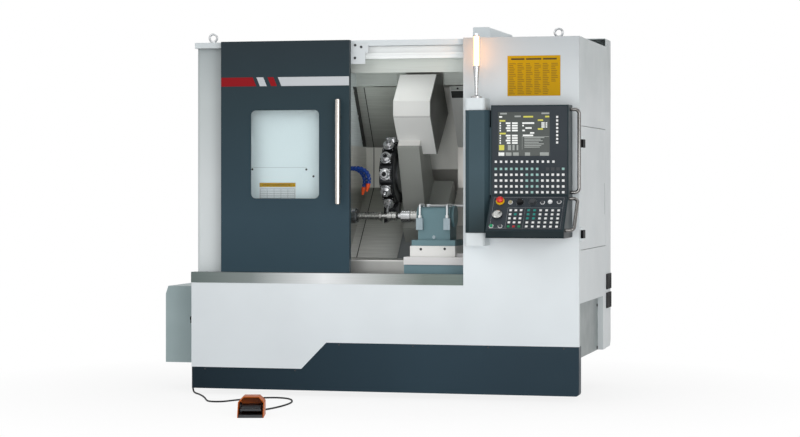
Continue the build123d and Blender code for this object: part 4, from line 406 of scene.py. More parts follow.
# Painted shade on the pendant post: darker towards its foot
post_shade_tones = [
    (0.86, (0.016, 0.029, 0.032)),
    (1.02, (0.040, 0.069, 0.082)),
    (1.20, (0.052, 0.088, 0.107)),
    (1.66, (0.046, 0.078, 0.095)),
]
post_panel_painted_shade = painted("post_panel_painted_shade", tones=("Z", post_shade_tones), gloss=0.38, shine=0.12)
# Painted shade: the housing is darker below the foot of the desk plate
housing_panel = painted(
    "housing_panel", (0.022, 0.036, 0.042), (0.016, 0.028, 0.033), gloss=0.42, shine=0.12,
    bands=[(*box(z=(-FAR, DESK_FOOT_Z)), (0.005, 0.013, 0.016))],
)

# Other paints and castings
grey_panel = painted("grey_panel", (0.40, 0.49, 0.50), (0.31, 0.39, 0.40))
shadow_grey = painted("shadow_grey", (0.28, 0.32, 0.32), (0.24, 0.275, 0.275))
casting_teal = painted(
    "casting_teal", (0.185, 0.300, 0.340), (0.150, 0.250, 0.285), gloss=0.36,
    bands=[(*box(z=(0.701, 0.801)), (0.78, 0.77, 0.77))],
)
tail_paint = painted(
    "tail_paint", (0.165, 0.275, 0.305), (0.135, 0.235, 0.262), gloss=0.33,
    bands=[(*box(z=(0.70, 0.8005)), (0.84, 0.84, 0.82))],
)
casting_grey = painted(
    "casting_grey", (0.30, 0.32, 0.33), (0.25, 0.27, 0.28), gloss=0.5, peel=90, strength=0.2,
)
# Painted reflection: the hood's right side is dark grey for the dark work space it mirrors
hood_side_painted_reflection = box(x=(0.2785, FAR))
hood_underside = box(y=(-FAR, -0.05), z=(-FAR, 1.4975))
hood_white = painted(
    "hood_white", (0.82, 0.83, 0.81), (0.76, 0.77, 0.75), gloss=0.4,
    bands=[(*hood_side_painted_reflection, (0.15, 0.153, 0.14)), (*hood_underside, (0.40, 0.405, 0.40))],
)
# Painted light: the slide's top, above 1.3415 m, is near white to look lit under the hood
slide_grey = painted(
    "slide_grey", (0.36, 0.375, 0.35), (0.31, 0.322, 0.30), gloss=0.42,
    bands=[(*box(z=(1.3415, FAR)), (0.90, 0.89, 0.86))],
)
hanger_paint = painted(
    "hanger_paint", (0.05, 0.053, 0.057), (0.04, 0.042, 0.046), gloss=0.42,
    bands=[(*box(x=(-0.13, FAR)), (0.66, 0.70, 0.72))],
)

# Sheet metal of the sill and the work space, with a painted sheen on the sill and painted light and shade in
# the work space
# Painted sheen on the sill: dark at both ends and bright near the middle, standing in for the reflection
# along it
sill_painted_sheen_tones = [
    (-0.96, (0.145, 0.180, 0.172)),
    (-0.62, (0.24, 0.27, 0.265)),
    (-0.22, (0.80, 0.82, 0.83)),
    (-0.06, (0.58, 0.60, 0.60)),
    (0.13, (0.34, 0.36, 0.35)),
    (0.33, (0.14, 0.165, 0.15)),
    (0.54, (0.105, 0.13, 0.12)),
]
stainless_painted_sheen = metal("stainless_painted_sheen", tones=("X", sill_painted_sheen_tones), grain=(3, 260, 420), gloss=0.34)
liner_sheet = metal(
    "liner_sheet", (0.56, 0.60, 0.565), (0.49, 0.525, 0.495), grain=(5, 240, 200), gloss=0.45, metallic=0.2,
)
# Painted light and shade on the spindle wall: darker from 0.56 m up to 1.08 m, then lighter in steps at 1.12
# m and 1.35 m
wall_light_and_shade_tones = [
    (0.56, (0.60, 0.61, 0.58)),
    (0.80, (0.44, 0.45, 0.42)),
    (1.08, (0.30, 0.305, 0.27)),
    (1.12, (0.62, 0.62, 0.56)),
    (1.34, (0.76, 0.77, 0.72)),
    (1.35, (0.84, 0.92, 0.93)),
    (1.87, (0.74, 0.80, 0.80)),
]
wall_sheet = metal("wall_sheet", tones=("Z", wall_light_and_shade_tones), grain=(5, 3, 240), gloss=0.42, metallic=0.05)
# Painted light and shade on the covers: each facet between the folds near 0.72, 1.11 and 1.34 m has its own
# brightness and gradient
cover_light_and_shade_tones = [
    (0.66, (0.36, 0.363, 0.35)),
    (0.715, (0.40, 0.403, 0.388)),
    (0.722, (0.78, 0.783, 0.76)),
    (0.86, (0.58, 0.585, 0.555)),
    (1.06, (0.36, 0.365, 0.325)),
    (1.109, (0.33, 0.335, 0.295)),
    (1.112, (0.78, 0.78, 0.73)),
    (1.338, (0.80, 0.80, 0.75)),
    (1.341, (0.36, 0.37, 0.35)),
    (1.68, (0.72, 0.76, 0.70)),
]
# Painted light: the right part of the covers is paler where it lies in shadow
right_sheet_high_painted_light = box(x=(0.30, FAR), y=(0.25, FAR), z=(1.341, FAR))
right_sheet_low_painted_light = box(x=(0.30, FAR), y=(0.25, FAR), z=(0.9, 1.341))
cover_sheet = metal(
    "cover_sheet", tones=("Z", cover_light_and_shade_tones), grain=(5, 220, 3), gloss=0.36, metallic=0.4,
    bands=[(*right_sheet_high_painted_light, (0.84, 0.85, 0.83)), (*right_sheet_low_painted_light, (0.74, 0.72, 0.68))],
)
back_sheet = metal(
    "back_sheet", (0.80, 0.80, 0.76), (0.66, 0.66, 0.62), grain=(5, 220, 3), gloss=0.4, metallic=0.1,
)

# Turned, polished and blackened steel
polished = metal(
    "polished", (0.56, 0.57, 0.58), (0.34, 0.35, 0.36), grain=(260, 40, 40), gloss=0.24, strength=0.03,
)
turned_steel = metal(
    "turned_steel", (0.52, 0.525, 0.51), (0.30, 0.305, 0.295), grain=(320, 30, 30), gloss=0.28, strength=0.04,
)
handle_steel = metal(
    "handle_steel", (0.20, 0.195, 0.19), (0.12, 0.117, 0.114), grain=(120, 120, 6), gloss=0.2, strength=0.02,
)
chrome_bar = metal(
    "chrome_bar", (0.58, 0.545, 0.51), (0.40, 0.375, 0.35), grain=(120, 120, 6), gloss=0.2, strength=0.02,
)
holder_steel = metal(
    "holder_steel", (0.62, 0.63, 0.64), (0.44, 0.45, 0.46), grain=(90, 90, 90), gloss=0.3, strength=0.03,
    metallic=0.8, core=((0, TURRET_Y, TURRET_Z), 0.1785, (0.030, 0.031, 0.033)),
)
tool_steel = metal(
    "tool_steel", (0.50, 0.51, 0.52), (0.36, 0.37, 0.38), grain=(90, 90, 90), gloss=0.22, strength=0.03,
    metallic=0.85, bands=[(*box(y=(0.06, FAR), z=(-FAR, 1.04)), (0.040, 0.042, 0.045))],
)
black_steel = metal(
    "black_steel", (0.055, 0.058, 0.062), (0.035, 0.037, 0.040), grain=(120, 60, 60), gloss=0.38,
    metallic=0.8,
)
fitting_steel = metal(
    "fitting_steel", (0.34, 0.42, 0.46), (0.27, 0.34, 0.375), grain=(60, 60, 6), gloss=0.34, strength=0.03,
    metallic=0.3, bands=[(*box(z=(0.951, FAR)), (0.80, 0.83, 0.84))],
)
screw_dark = metal(
    "screw_dark", (0.06, 0.062, 0.066), (0.04, 0.042, 0.045), grain=(200, 200, 200), gloss=0.4, metallic=0.8,
)
screw_bright = metal(
    "screw_bright", (0.62, 0.63, 0.64), (0.48, 0.49, 0.50), grain=(200, 200, 200), gloss=0.28,
)

# Plastic, rubber and film
black_moulding = painted(
    "black_moulding", (0.010, 0.011, 0.012), (0.007, 0.008, 0.009), gloss=0.5, peel=700, strength=0.15,
)
hinge_black = painted(
    "hinge_black", (0.004, 0.004, 0.005), (0.003, 0.003, 0.004), gloss=0.55, peel=700, shine=0.06,
)
desk_film = painted(
    "desk_film", (0.034, 0.042, 0.050), (0.028, 0.035, 0.042), gloss=0.45, peel=500, shine=0.12,
)
rubber = painted("rubber", (0.014, 0.014, 0.015), (0.010, 0.010, 0.011), gloss=0.6, peel=600, strength=0.2)
seam_dark = painted("seam_dark", (0.05, 0.052, 0.05), (0.035, 0.037, 0.036), gloss=0.6, peel=500)
key_dark = painted(
    "key_dark", (0.055, 0.060, 0.066), (0.040, 0.045, 0.050), gloss=0.45, peel=900,
    bands=[
        (*desk_box(0.12, 0.83, 0.026), (0.78, 0.47, 0.012)),
        (*desk_box(0.26, 0.80, 0.013), (0.34, 0.31, 0.20)),
        (*desk_box(0.79, 0.82, 0.013), (0.78, 0.79, 0.79)),
        (*desk_box(0.05, 0.09, 0.013), (0.010, 0.24, 0.10)),
    ],
)
stop_red = painted("stop_red", (0.62, 0.025, 0.02), (0.52, 0.02, 0.016), gloss=0.28, coat=0.3)
guard_orange = painted("guard_orange", (0.45, 0.095, 0.008), (0.37, 0.078, 0.007), gloss=0.4)
nozzle_red = (0.66, 0.075, 0.012)
front_nozzle = box(y=(-FAR, -0.211), z=(0.5, 1.134))
rear_nozzle = box(y=(-0.211, FAR), z=(0.5, 1.116))
hose_blue = painted(
    "hose_blue", (0.010, 0.046, 0.24), (0.008, 0.036, 0.19), gloss=0.34, coat=0.1,
    bands=[(*front_nozzle, nozzle_red), (*rear_nozzle, nozzle_red)],
)

# Printed fields, stripes and key caps
plate_yellow = painted("plate_yellow", (0.54, 0.30, 0.002), (0.49, 0.27, 0.002), gloss=0.42, shine=0.1)
rule_dark = painted("rule_dark", (0.07, 0.045, 0.012), (0.06, 0.038, 0.010), gloss=0.5)
rule_brown = painted("rule_brown", (0.27, 0.145, 0.003), (0.23, 0.125, 0.003), gloss=0.5)
stripe_red = painted("stripe_red", (0.29, 0.010, 0.014), (0.26, 0.008, 0.012), gloss=0.35, shine=0.1)
stripe_grey = painted("stripe_grey", (0.56, 0.585, 0.61), (0.52, 0.545, 0.57), gloss=0.38, shine=0.1)
panel_line = painted("panel_line", (0.30, 0.32, 0.33), (0.26, 0.28, 0.29), gloss=0.5, peel=900)


def cap_plastic(name, colour, shade):
    return painted(name, colour, shade, gloss=0.4, peel=900)


cap_white = cap_plastic("cap_white", (0.78, 0.79, 0.79), (0.70, 0.71, 0.71))
cap_mint = cap_plastic("cap_mint", (0.30, 0.50, 0.47), (0.26, 0.45, 0.42))
cap_teal = cap_plastic("cap_teal", (0.018, 0.26, 0.225), (0.014, 0.22, 0.19))
cap_green = cap_plastic("cap_green", (0.010, 0.22, 0.085), (0.008, 0.18, 0.07))
cap_red = cap_plastic("cap_red", (0.42, 0.020, 0.022), (0.36, 0.016, 0.018))
readout_white = cap_plastic("readout_white", (0.86, 0.88, 0.86), (0.78, 0.80, 0.78))
readout_grey = cap_plastic("readout_grey", (0.34, 0.36, 0.345), (0.29, 0.31, 0.295))
readout_yellow = cap_plastic("readout_yellow", (0.62, 0.59, 0.10), (0.54, 0.51, 0.08))

# Lamp: amber tube that glows
amber_glow, tree, shader = start_material("amber_glow")
shade = noise(tree, object_spot(tree), 60, detail=2.0)
tube = mix_colours(tree, shade, (1.0, 0.72, 0.34), (1.0, 0.82, 0.52))
glow = mix_colours(tree, shade, (1.0, 0.34, 0.06), (1.0, 0.44, 0.12))
tree.links.new(tube, shader.inputs["Base Color"])
tree.links.new(glow, shader.inputs["Emission Color"])
shader.inputs["Emission Strength"].default_value = 8.0
shader.inputs["Roughness"].default_value = 0.25

# Screen glass with a faint glow
screen_glass, tree, shader = start_material("screen_glass")
shade = noise(tree, object_spot(tree), 5, detail=2.0)
pane = mix_colours(tree, shade, (0.046, 0.053, 0.050), (0.034, 0.040, 0.038))
glow = mix_colours(tree, shade, (0.110, 0.122, 0.112), (0.075, 0.084, 0.080))
tree.links.new(pane, shader.inputs["Base Color"])
tree.links.new(glow, shader.inputs["Emission Color"])
shader.inputs["Emission Strength"].default_value = 0.3
shader.inputs["Roughness"].default_value = 0.18
shader.inputs["Specular IOR Level"].default_value = 0.2

# Window glass: clear laminate with a faint smear in its gloss
window_glass, tree, shader = start_material("window_glass")
shade = noise(tree, object_spot(tree), 4, detail=3.0)
pane = mix_colours(tree, shade, (0.90, 0.94, 0.95), (0.86, 0.91, 0.92))
tree.links.new(range_node(tree, shade, 0.3, 0.7, 0.02, 0.08), shader.inputs["Roughness"])
tree.links.new(pane, shader.inputs["Base Color"])
shader.inputs["Transmission Weight"].default_value = 1.0
shader.inputs["IOR"].default_value = 1.2

finishes = {
    "levelling_feet": black_steel,
    "base_frame": white_panel,
    "slant_bed": casting_grey,
    "front_cover": front_white_painted_shade,
    "kick_plate": plinth_panel_painted_shade,
    "end_column": column_white_painted_shade,
    "left_end_cover": grey_panel,
    "headstock_guard": guard_white,
    "door_beam": beam_white_painted_light,
    "ceiling_liner": liner_sheet,
    "roof_cover": white_panel,
    "right_side_cover": side_white_painted_shade,
    "lower_side_cover": shadow_grey,
    "sill": stainless_painted_sheen,
    "spindle_wall": wall_sheet,
    "chip_tray": cover_sheet,
    "way_covers": cover_sheet,
    "carriage_covers": cover_sheet,
    "electrical_cabinet": cabinet_white_painted_shade,
    "vent_grilles": hinge_black,
    "lifting_eyes": polished,
    "headstock": casting_grey,
    "spindle_motor": casting_grey,
    "spindle": polished,
    "workpiece": turned_steel,
    "saddle": casting_grey,
    "turret_slide": slide_grey,
    "turret_hood": hood_white,
    "turret_disc": black_steel,
    "tool_holders": holder_steel,
    "turning_tools": tool_steel,
    "tailstock_bed": casting_teal,
    "tailstock_body": tail_paint,
    "tailstock_pipes": fitting_steel,
    "quill": turned_steel,
    "live_centre": polished,
    "coolant_hoses": hose_blue,
    "pendant_brackets": white_panel,
    "pendant_post": post_panel_painted_shade,
    "pendant_housing": housing_panel,
    "control_panels": desk_film,
    "screen": screen_glass,
    "panel_keys": key_dark,
    "estop_button": stop_red,
    "handwheel": turned_steel,
    "feed_knob": black_moulding,
    "panel_handles": handle_steel,
    "lamp_stem": polished,
    "lamp_lens": amber_glow,
    "door_panel": door_slate_painted_shade,
    "door_window": window_glass,
    "door_handle": chrome_bar,
    "door_hangers": hanger_paint,
    "side_door": side_door_white_painted_shade,
    "side_door_hinges": hinge_black,
    "foot_switch_base": black_steel,
    "foot_switch_guard": guard_orange,
    "foot_pedal": black_steel,
    "cord_glands": black_moulding,
    "pedal_cord": rubber,
}
for node_name, finish in finishes.items():
    slots = nodes[node_name].data.materials
    slots.clear()
    slots.append(finish)


# Foot switch cord, on the same points as its solid: millimetres along and behind, then metres up
cord_points = [
    (-26, 92, 0.374),
    (-26, 92, 0.300),
    (-25, 90, 0.215),
    (-22, 84, 0.135),
    (-18, 74, 0.074),
    (-10, 50, 0.028),
    (8, 14, 0.008),
    (32, -26, 0.005),
    (72, -82, 0.005),
    (116, -160, 0.005),
    (163, -257, 0.005),
    (206, -362, 0.005),
    (240, -432, 0.005),
    (281, -449, 0.005),
    (322, -432, 0.005),
    (352, -364, 0.005),
    (400, -268, 0.005),
    (452, -200, 0.005),
    (520, -165, 0.005),
    (581, -179, 0.005),
    (630, -235, 0.005),
    (664, -322, 0.005),
    (683, -410, 0.005),
    (688, -501, 0.005),
    (684, -600, 0.005),
    (672, -690, 0.005),
    (655, -765, 0.005),
    (640, -820, 0.008),
]
cord_route = [(along(right), behind(back), up) for right, back, up in cord_points]
CORD_DIAMETER = 0.009
SWITCH_TURN = math.radians(14)
GLAND_HEIGHT = 0.012
GLAND_REACHES = (0.254, 0.214)
switch_origin = Vector((along(687), behind(-1117), 0))
switch_back = Vector((-math.sin(SWITCH_TURN), math.cos(SWITCH_TURN), 0))
for reach in GLAND_REACHES:
    cord_route.append(switch_origin + switch_back * reach + Vector((0, 0, GLAND_HEIGHT)))
cord_curve = bpy.data.curves.new("pedal_cord_line", "CURVE")
cord_curve.dimensions = "3D"
cord_curve.bevel_depth = CORD_DIAMETER / 2
cord_curve.bevel_resolution = 3
cord_curve.resolution_u = 12
cord_curve.use_fill_caps = True
line = cord_curve.splines.new("NURBS")
line.points.add(len(cord_route) - 1)
for point, place in zip(line.points, cord_route):
    point.co = (*place, 1)
line.order_u = 3
line.use_endpoint_u = True
cord_curve.materials.append(rubber)
cord_piece = bpy.data.objects.new("pedal_cord_line", cord_curve)
scene.collection.objects.link(cord_piece)
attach(cord_piece, "machine")
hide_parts("pedal_cord")

# Helpers for new pieces: each shape is made round its own origin, then put in its place
SUNK = 0.0002
TO_FRONT = (0, -1, 0)
TO_RIGHT = (1, 0, 0)
MERGE_DISTANCE = 1e-6


def join_shape(mesh, shape, place, slot):
    bmesh.ops.remove_doubles(shape, verts=shape.verts, dist=MERGE_DISTANCE)
    bmesh.ops.transform(shape, matrix=place, verts=shape.verts)
    for face in shape.faces:
        face.material_index = slot
    data = bpy.data.meshes.new("shape")
    shape.to_mesh(data)
    shape.free()
    mesh.from_mesh(data)
    bpy.data.meshes.remove(data)


def add_piece(name, mesh, body, slot, *materials):
    data = bpy.data.meshes.new(name)
    bmesh.ops.recalc_face_normals(mesh, faces=mesh.faces)
    mesh.to_mesh(data)
    mesh.free()
    for material in materials:
        data.materials.append(material)
    piece = bpy.data.objects.new(name, data)
    scene.collection.objects.link(piece)
    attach(piece, body)


def add_plate(mesh, low, high, edge=0.0, slot=0, place=None):
    """A block between two corners, with its edges bevelled where an edge is given."""
    shape = bmesh.new()
    bmesh.ops.create_cube(shape, size=1.0)
    bmesh.ops.scale(shape, vec=[b - a for a, b in zip(low, high)], verts=shape.verts)
    bmesh.ops.translate(shape, vec=[(a + b) / 2 for a, b in zip(low, high)], verts=shape.verts)
    if edge:
        bmesh.ops.bevel(
            shape, geom=shape.edges[:], offset=edge, segments=1, profile=0.5, affect="EDGES", material=-1,
        )
    join_shape(mesh, shape, place or Matrix(), slot)


def add_field(mesh, x, z, front, proud, slot=0, sunk=SUNK, edge=0.0):
    """A thin plate on an upright face that looks to the front, between two places along x and z."""
    add_plate(mesh, (x[0], front - proud, z[0]), (x[1], front + sunk, z[1]), edge=edge, slot=slot)


def add_turned(mesh, profile, place, steps=20, slot=0):
    """A profile of radius and height pairs, spun round the z axis of its place."""
    shape = bmesh.new()
    line = [shape.verts.new((radius, 0, height)) for radius, height in profile]
    rails = [shape.edges.new(pair) for pair in zip(line, line[1:])]
    bmesh.ops.spin(
        shape, geom=line + rails, cent=(0, 0, 0), axis=(0, 0, 1), angle=2 * math.pi, steps=steps,
        use_merge=True,
    )
    join_shape(mesh, shape, place, slot)


def facing(place, out):
    """A place whose z axis points out."""
    turn = Vector((0, 0, 1)).rotation_difference(Vector(out))
    return Matrix.Translation(place) @ turn.to_matrix().to_4x4()


def add_screw(mesh, place, radius=0.0045, height=0.0025, slot=0):
    """A rounded screw head with a socket."""
    socket = radius * 0.5
    profile = [
        (0, height * 0.3),
        (socket, height * 0.35),
        (socket, height),
        (radius * 0.8, height),
        (radius, height * 0.7),
        (radius, -height * 0.2),
    ]
    add_turned(mesh, profile, place, 12, slot)


def shares_between(limits, count):
    return [limits[0] + (limits[1] - limits[0]) * step / (count - 1) for step in range(count)]


# Slanted stripe across the door: fields from its left edge, red and grey in turn
DOOR_X = (-0.7925, -0.0775)
STRIPE_Z = 1.6802
STRIPE_HALF = 0.0239
STRIPE_LEAN = -0.42
STRIPE_PROUD = 0.0006
STRIPE_MARGIN = 0.001
stripe_fields = ((-0.03, 0.1887), (0.2092, 0.2478), (0.2716, 0.3046), (0.3292, 0.75))
stripe = bmesh.new()
lean = Matrix.Translation((0, 0, STRIPE_Z))
lean[0][2] = STRIPE_LEAN
for index, (start, end) in enumerate(stripe_fields):
    low = (DOOR_X[0] + start, FRONT - STRIPE_PROUD, -STRIPE_HALF)
    high = (DOOR_X[0] + end, FRONT + SUNK, STRIPE_HALF)
    add_plate(stripe, low, high, slot=index % 2, place=lean)
for limit, outward in ((DOOR_X[0] + STRIPE_MARGIN, -1), (DOOR_X[1] - STRIPE_MARGIN, 1)):
    parted = bmesh.ops.bisect_plane(
        stripe, geom=stripe.verts[:] + stripe.edges[:] + stripe.faces[:],
        plane_co=(limit, 0, 0), plane_no=(outward, 0, 0), clear_outer=True,
    )
    rims = [element for element in parted["geom_cut"] if isinstance(element, bmesh.types.BMEdge)]
    bmesh.ops.holes_fill(stripe, edges=rims)
add_piece("door_stripe", stripe, "door", "red_plastic", stripe_red, stripe_grey)

# Yellow table plate with plain rules in columns
PLATE_X = (0.7775, 1.0575)
PLATE_Z = (1.591, 1.801)
HEADING_Z = 1.779
HEADING_HEIGHT = 0.0085
COLUMN_MARGIN = 0.009
COLUMN_STEP = 0.0445
COLUMN_WIDTH = 0.039
FIRST_ROW_Z = 1.757
ROW_STEP = 0.0092
RULE_HEIGHT = 0.0042
column_rows = (18, 18, 18, 18, 18, 11)
rule_length_shares = (0.92, 0.68, 0.80, 0.56, 0.88, 0.72, 0.62)
table_plate = bmesh.new()
add_field(table_plate, PLATE_X, PLATE_Z, FRONT, 0.001, edge=0.0004)


def add_rule(x, z, height, slot):
    add_field(table_plate, x, (z, z + height), FRONT, 0.0013, slot, sunk=-0.0008)


for heading_x in ((0.797, 0.868), (0.876, 0.957), (0.966, 1.038)):
    add_rule(heading_x, HEADING_Z, HEADING_HEIGHT, 1)
for column, rows in enumerate(column_rows):
    start = PLATE_X[0] + COLUMN_MARGIN + column * COLUMN_STEP
    for row in range(rows):
        length = COLUMN_WIDTH * rule_length_shares[(row * 3 + column * 5) % len(rule_length_shares)]
        add_rule((start, start + length), FIRST_ROW_Z - row * ROW_STEP, RULE_HEIGHT, 2)
add_piece("yellow_table_plate", table_plate, "machine", "key_plastic", plate_yellow, rule_dark, rule_brown)

# Plain data plate behind the door window: a heading field with a bar, and a grid below it
GUARD_FRONT = -0.340
DATA_X = (-0.601, -0.395)
DATA_Z = (1.035, 1.140)
GRID_MARGIN = 0.006
GRID_HALF = 0.0008
grid_x = (DATA_X[0] + GRID_MARGIN, DATA_X[1] - GRID_MARGIN)
grid_z = (DATA_Z[0] + 0.008, DATA_Z[1] - 0.034)
heading_x = (DATA_X[0] + 0.002, DATA_X[1] - 0.002)
heading_z = (DATA_Z[1] - 0.024, DATA_Z[1] - 0.002)
bar_x = (DATA_X[0] + 0.020, DATA_X[1] - 0.030)
bar_z = (DATA_Z[1] - 0.016, DATA_Z[1] - 0.010)
data_plate = bmesh.new()
add_field(data_plate, DATA_X, DATA_Z, GUARD_FRONT, 0.0008, 0)
add_field(data_plate, heading_x, heading_z, GUARD_FRONT, 0.0011, 1)
add_field(data_plate, bar_x, bar_z, GUARD_FRONT, 0.0014, 2)
for z in shares_between(grid_z, 6):
    add_field(data_plate, grid_x, (z - GRID_HALF, z + GRID_HALF), GUARD_FRONT, 0.0011, 3)
for x in shares_between(grid_x, 6):
    add_field(data_plate, (x - GRID_HALF, x + GRID_HALF), grid_z, GUARD_FRONT, 0.0011, 3)
add_piece("data_plate", data_plate, "machine", "key_plastic", cap_white, plate_yellow, rule_brown, panel_line)

# Screws of the covers: kick plate, lower side cover and headstock guard
kick_screws = (
    (-0.8834, 0.135), (-0.3774, 0.135), (-0.1338, 0.277), (0.2707, 0.277), (0.674, 0.277), (1.0759, 0.277),
)
guard_screws = ((-0.6400, 1.211), (-0.3365, 1.210), (-0.2965, 1.173))
LOWER_COVER_X = 1.1245
LOWER_COVER_SCREW_Y = 0.40
cover_screws = bmesh.new()
for x, z in kick_screws:
    add_screw(cover_screws, facing((x, FRONT, z), TO_FRONT))
for z in (0.4604, 0.2259):
    place = facing((LOWER_COVER_X, LOWER_COVER_SCREW_Y, z), TO_RIGHT)
    add_screw(cover_screws, place, radius=0.009, height=0.004)
for x, z in guard_screws:
    add_screw(cover_screws, facing((x, GUARD_FRONT, z), TO_FRONT), radius=0.006)
add_piece("cover_screws", cover_screws, "machine", "dark_steel", screw_dark)

# Screws of the tailstock's slide
TAILSTOCK_FRONT = -0.238
slide_screws = bmesh.new()
for x, z in ((0.271, 0.783), (0.402, 0.785)):
    add_screw(slide_screws, facing((x, TAILSTOCK_FRONT, z), TO_FRONT), radius=0.007, height=0.003)
add_piece("tailstock_screws", slide_screws, "tailstock", "dark_steel", screw_dark)

# Screws of the switch plate on the door's hanger
SWITCH_PLATE_FRONT = -0.383
plate_screws = bmesh.new()
for x, z in ((-0.054, 1.871), (-0.021, 1.861), (-0.055, 1.803)):
    add_screw(plate_screws, facing((x, SWITCH_PLATE_FRONT, z), TO_FRONT), radius=0.007, height=0.003)
add_piece("switch_plate_screws", plate_screws, "door", "dark_steel", screw_dark)

# Cap screws at the corners of the tool holders, one of which has none
TURRET_MIDDLE = Vector((0.0295, TURRET_Y, TURRET_Z))
STATIONS = 12
SCREWLESS_STATION = 1
HOLDER_SCREW_REACH = 0.0262
HOLDER_FLANGE = 0.169


def station_seat(station):
    """A place on the turret's axis whose z axis points out of a station."""
    turn = math.radians(150 + station * 360 / STATIONS)
    return Matrix.Translation(TURRET_MIDDLE) @ Matrix.Rotation(turn, 4, "X")


holder_screws = bmesh.new()
for station in range(STATIONS):
    if station == SCREWLESS_STATION:
        continue
    for x in (-HOLDER_SCREW_REACH, HOLDER_SCREW_REACH):
        for side in (-HOLDER_SCREW_REACH, HOLDER_SCREW_REACH):
            corner = station_seat(station) @ Matrix.Translation((x, side, HOLDER_FLANGE))
            add_screw(holder_screws, corner, radius=0.003, height=0.0028)
add_piece("holder_screws", holder_screws, "turret", "bright_steel", screw_bright)

# Painted shade: near-black discs at the bottoms of the empty tool holders' bores, for the shade inside them
BORE_RADIUS = 0.0132
BORE_TOP = 0.1945
BORE_FOOT = 0.1932
bore_profile = [(0, BORE_TOP), (BORE_RADIUS, BORE_TOP), (BORE_RADIUS, BORE_FOOT), (0, BORE_FOOT)]
bore_shade_discs = bmesh.new()
for station in (2, 3, 4, 5, 6, 7, 9, 10):
    add_turned(bore_shade_discs, bore_profile, station_seat(station), 20)
add_piece("holder_bore_shade_discs", bore_shade_discs, "turret", "black_plastic", black_moulding)


# Wipers and strips on the carriage's covers, the sheet behind their slot and the plates above them
def on_sheet(foot, head):
    """A place on a sheet with x along the machine, y up the sheet and z out of it, and its length."""
    rise = (Vector(head) - Vector(foot)).normalized()
    out = Vector(TO_RIGHT).cross(rise)
    place = Matrix((Vector(TO_RIGHT), rise, out)).transposed().to_4x4()
    return Matrix.Translation(foot) @ place, (Vector(head) - Vector(foot)).length


cover_folds = [(0, 0.253, 1.6745), (0, 0.477, 1.339), (0, 0.477, 1.1111), (0, 0.0899, 0.724)]
WIPER_X = (-0.1735, -0.1690)
WIPER_GAP = 0.001
STRIP_X = (0.325, 0.640)
STRIP_PROUD = 0.0012
WIPER_PROUD = 0.0010
wipers = bmesh.new()
for head, foot in zip(cover_folds, cover_folds[1:]):
    place, length = on_sheet(foot, head)
    low = (WIPER_X[0], WIPER_GAP, -SUNK)
    add_plate(wipers, low, (WIPER_X[1], length - WIPER_GAP, WIPER_PROUD), place=place)
place, length = on_sheet(cover_folds[1], cover_folds[0])
pale_low = (STRIP_X[0], length - 0.024, -SUNK)
pale_high = (STRIP_X[1], length - 0.002, STRIP_PROUD)
add_plate(wipers, pale_low, pale_high, edge=0.0004, slot=1, place=place)
dark_low = (STRIP_X[0], length - 0.075, -SUNK)
dark_high = (STRIP_X[1], length - 0.030, WIPER_PROUD)
add_plate(wipers, dark_low, dark_high, place=place)
for x in (0.365, 0.60):
    seat = place @ Matrix.Translation((x, length - 0.013, STRIP_PROUD))
    add_screw(wipers, seat, radius=0.006, height=0.0025, slot=2)
add_plate(wipers, (0.040, 0.4865, 1.215), (0.340, 0.4885, 1.676), slot=3)
for x0, x1 in ((-0.028, 0.0705), (0.2845, 0.610)):
    add_plate(wipers, (x0, 0.2605, 1.683), (x1, 0.2625, 1.834), slot=1)
add_piece("cover_wipers", wipers, "carriage", "sheet_steel", seam_dark, liner_sheet, screw_dark, back_sheet)

# Seal on the spindle wall, leaning back with the covers, and its screws
WALL_X = -0.2145
SEAL_LEAN = -0.6677
seal_screws = ((0.197, 1.655), (0.288, 1.5132), (0.379, 1.372))
seal = bmesh.new()
lean = Matrix.Translation((0, 0.219, 1.676))
lean[1][2] = SEAL_LEAN
add_plate(seal, (-0.2177, -0.034, -0.333), (WALL_X, 0.033, 0), place=lean)
for y, z in seal_screws:
    add_screw(seal, facing((WALL_X, y, z), TO_RIGHT), radius=0.007, height=0.0008, slot=1)
add_piece("wall_seal", seal, "machine", "cord_rubber", seam_dark, screw_bright)

# Feed pipe over the tailstock, with its union and two clips
PIPE_START = (0.278, -0.080, 1.0145)
PIPE_RADIUS = 0.006
PIPE_RUN = 0.315
UNION_RADIUS = 0.010
TAIL_RADIUS = 0.004
CLIP_LENGTH = 0.018
CLIP_HALF = 0.009
CLIP_Z = (1.0075, 1.0225)
pipe_profile = [(0, 0), (PIPE_RADIUS, 0), (PIPE_RADIUS, PIPE_RUN), (0, PIPE_RUN)]
union_profile = [
    (0, 0.30),
    (UNION_RADIUS, 0.30),
    (UNION_RADIUS, 0.325),
    (TAIL_RADIUS, 0.327),
    (TAIL_RADIUS, 0.34),
    (0, 0.34),
]
feed_pipe = bmesh.new()
along_pipe = facing(PIPE_START, TO_RIGHT)
add_turned(feed_pipe, pipe_profile, along_pipe, 16)
add_turned(feed_pipe, union_profile, along_pipe, 6, slot=1)
for x in (0.268, 0.395):
    clip_low = (x, PIPE_START[1] - CLIP_HALF, CLIP_Z[0])
    clip_high = (x + CLIP_LENGTH, PIPE_START[1] + CLIP_HALF, CLIP_Z[1])
    add_plate(feed_pipe, clip_low, clip_high, edge=0.0015, slot=1)
add_piece("tailstock_feed_pipe", feed_pipe, "tailstock", "bright_steel", cap_white, fitting_steel)

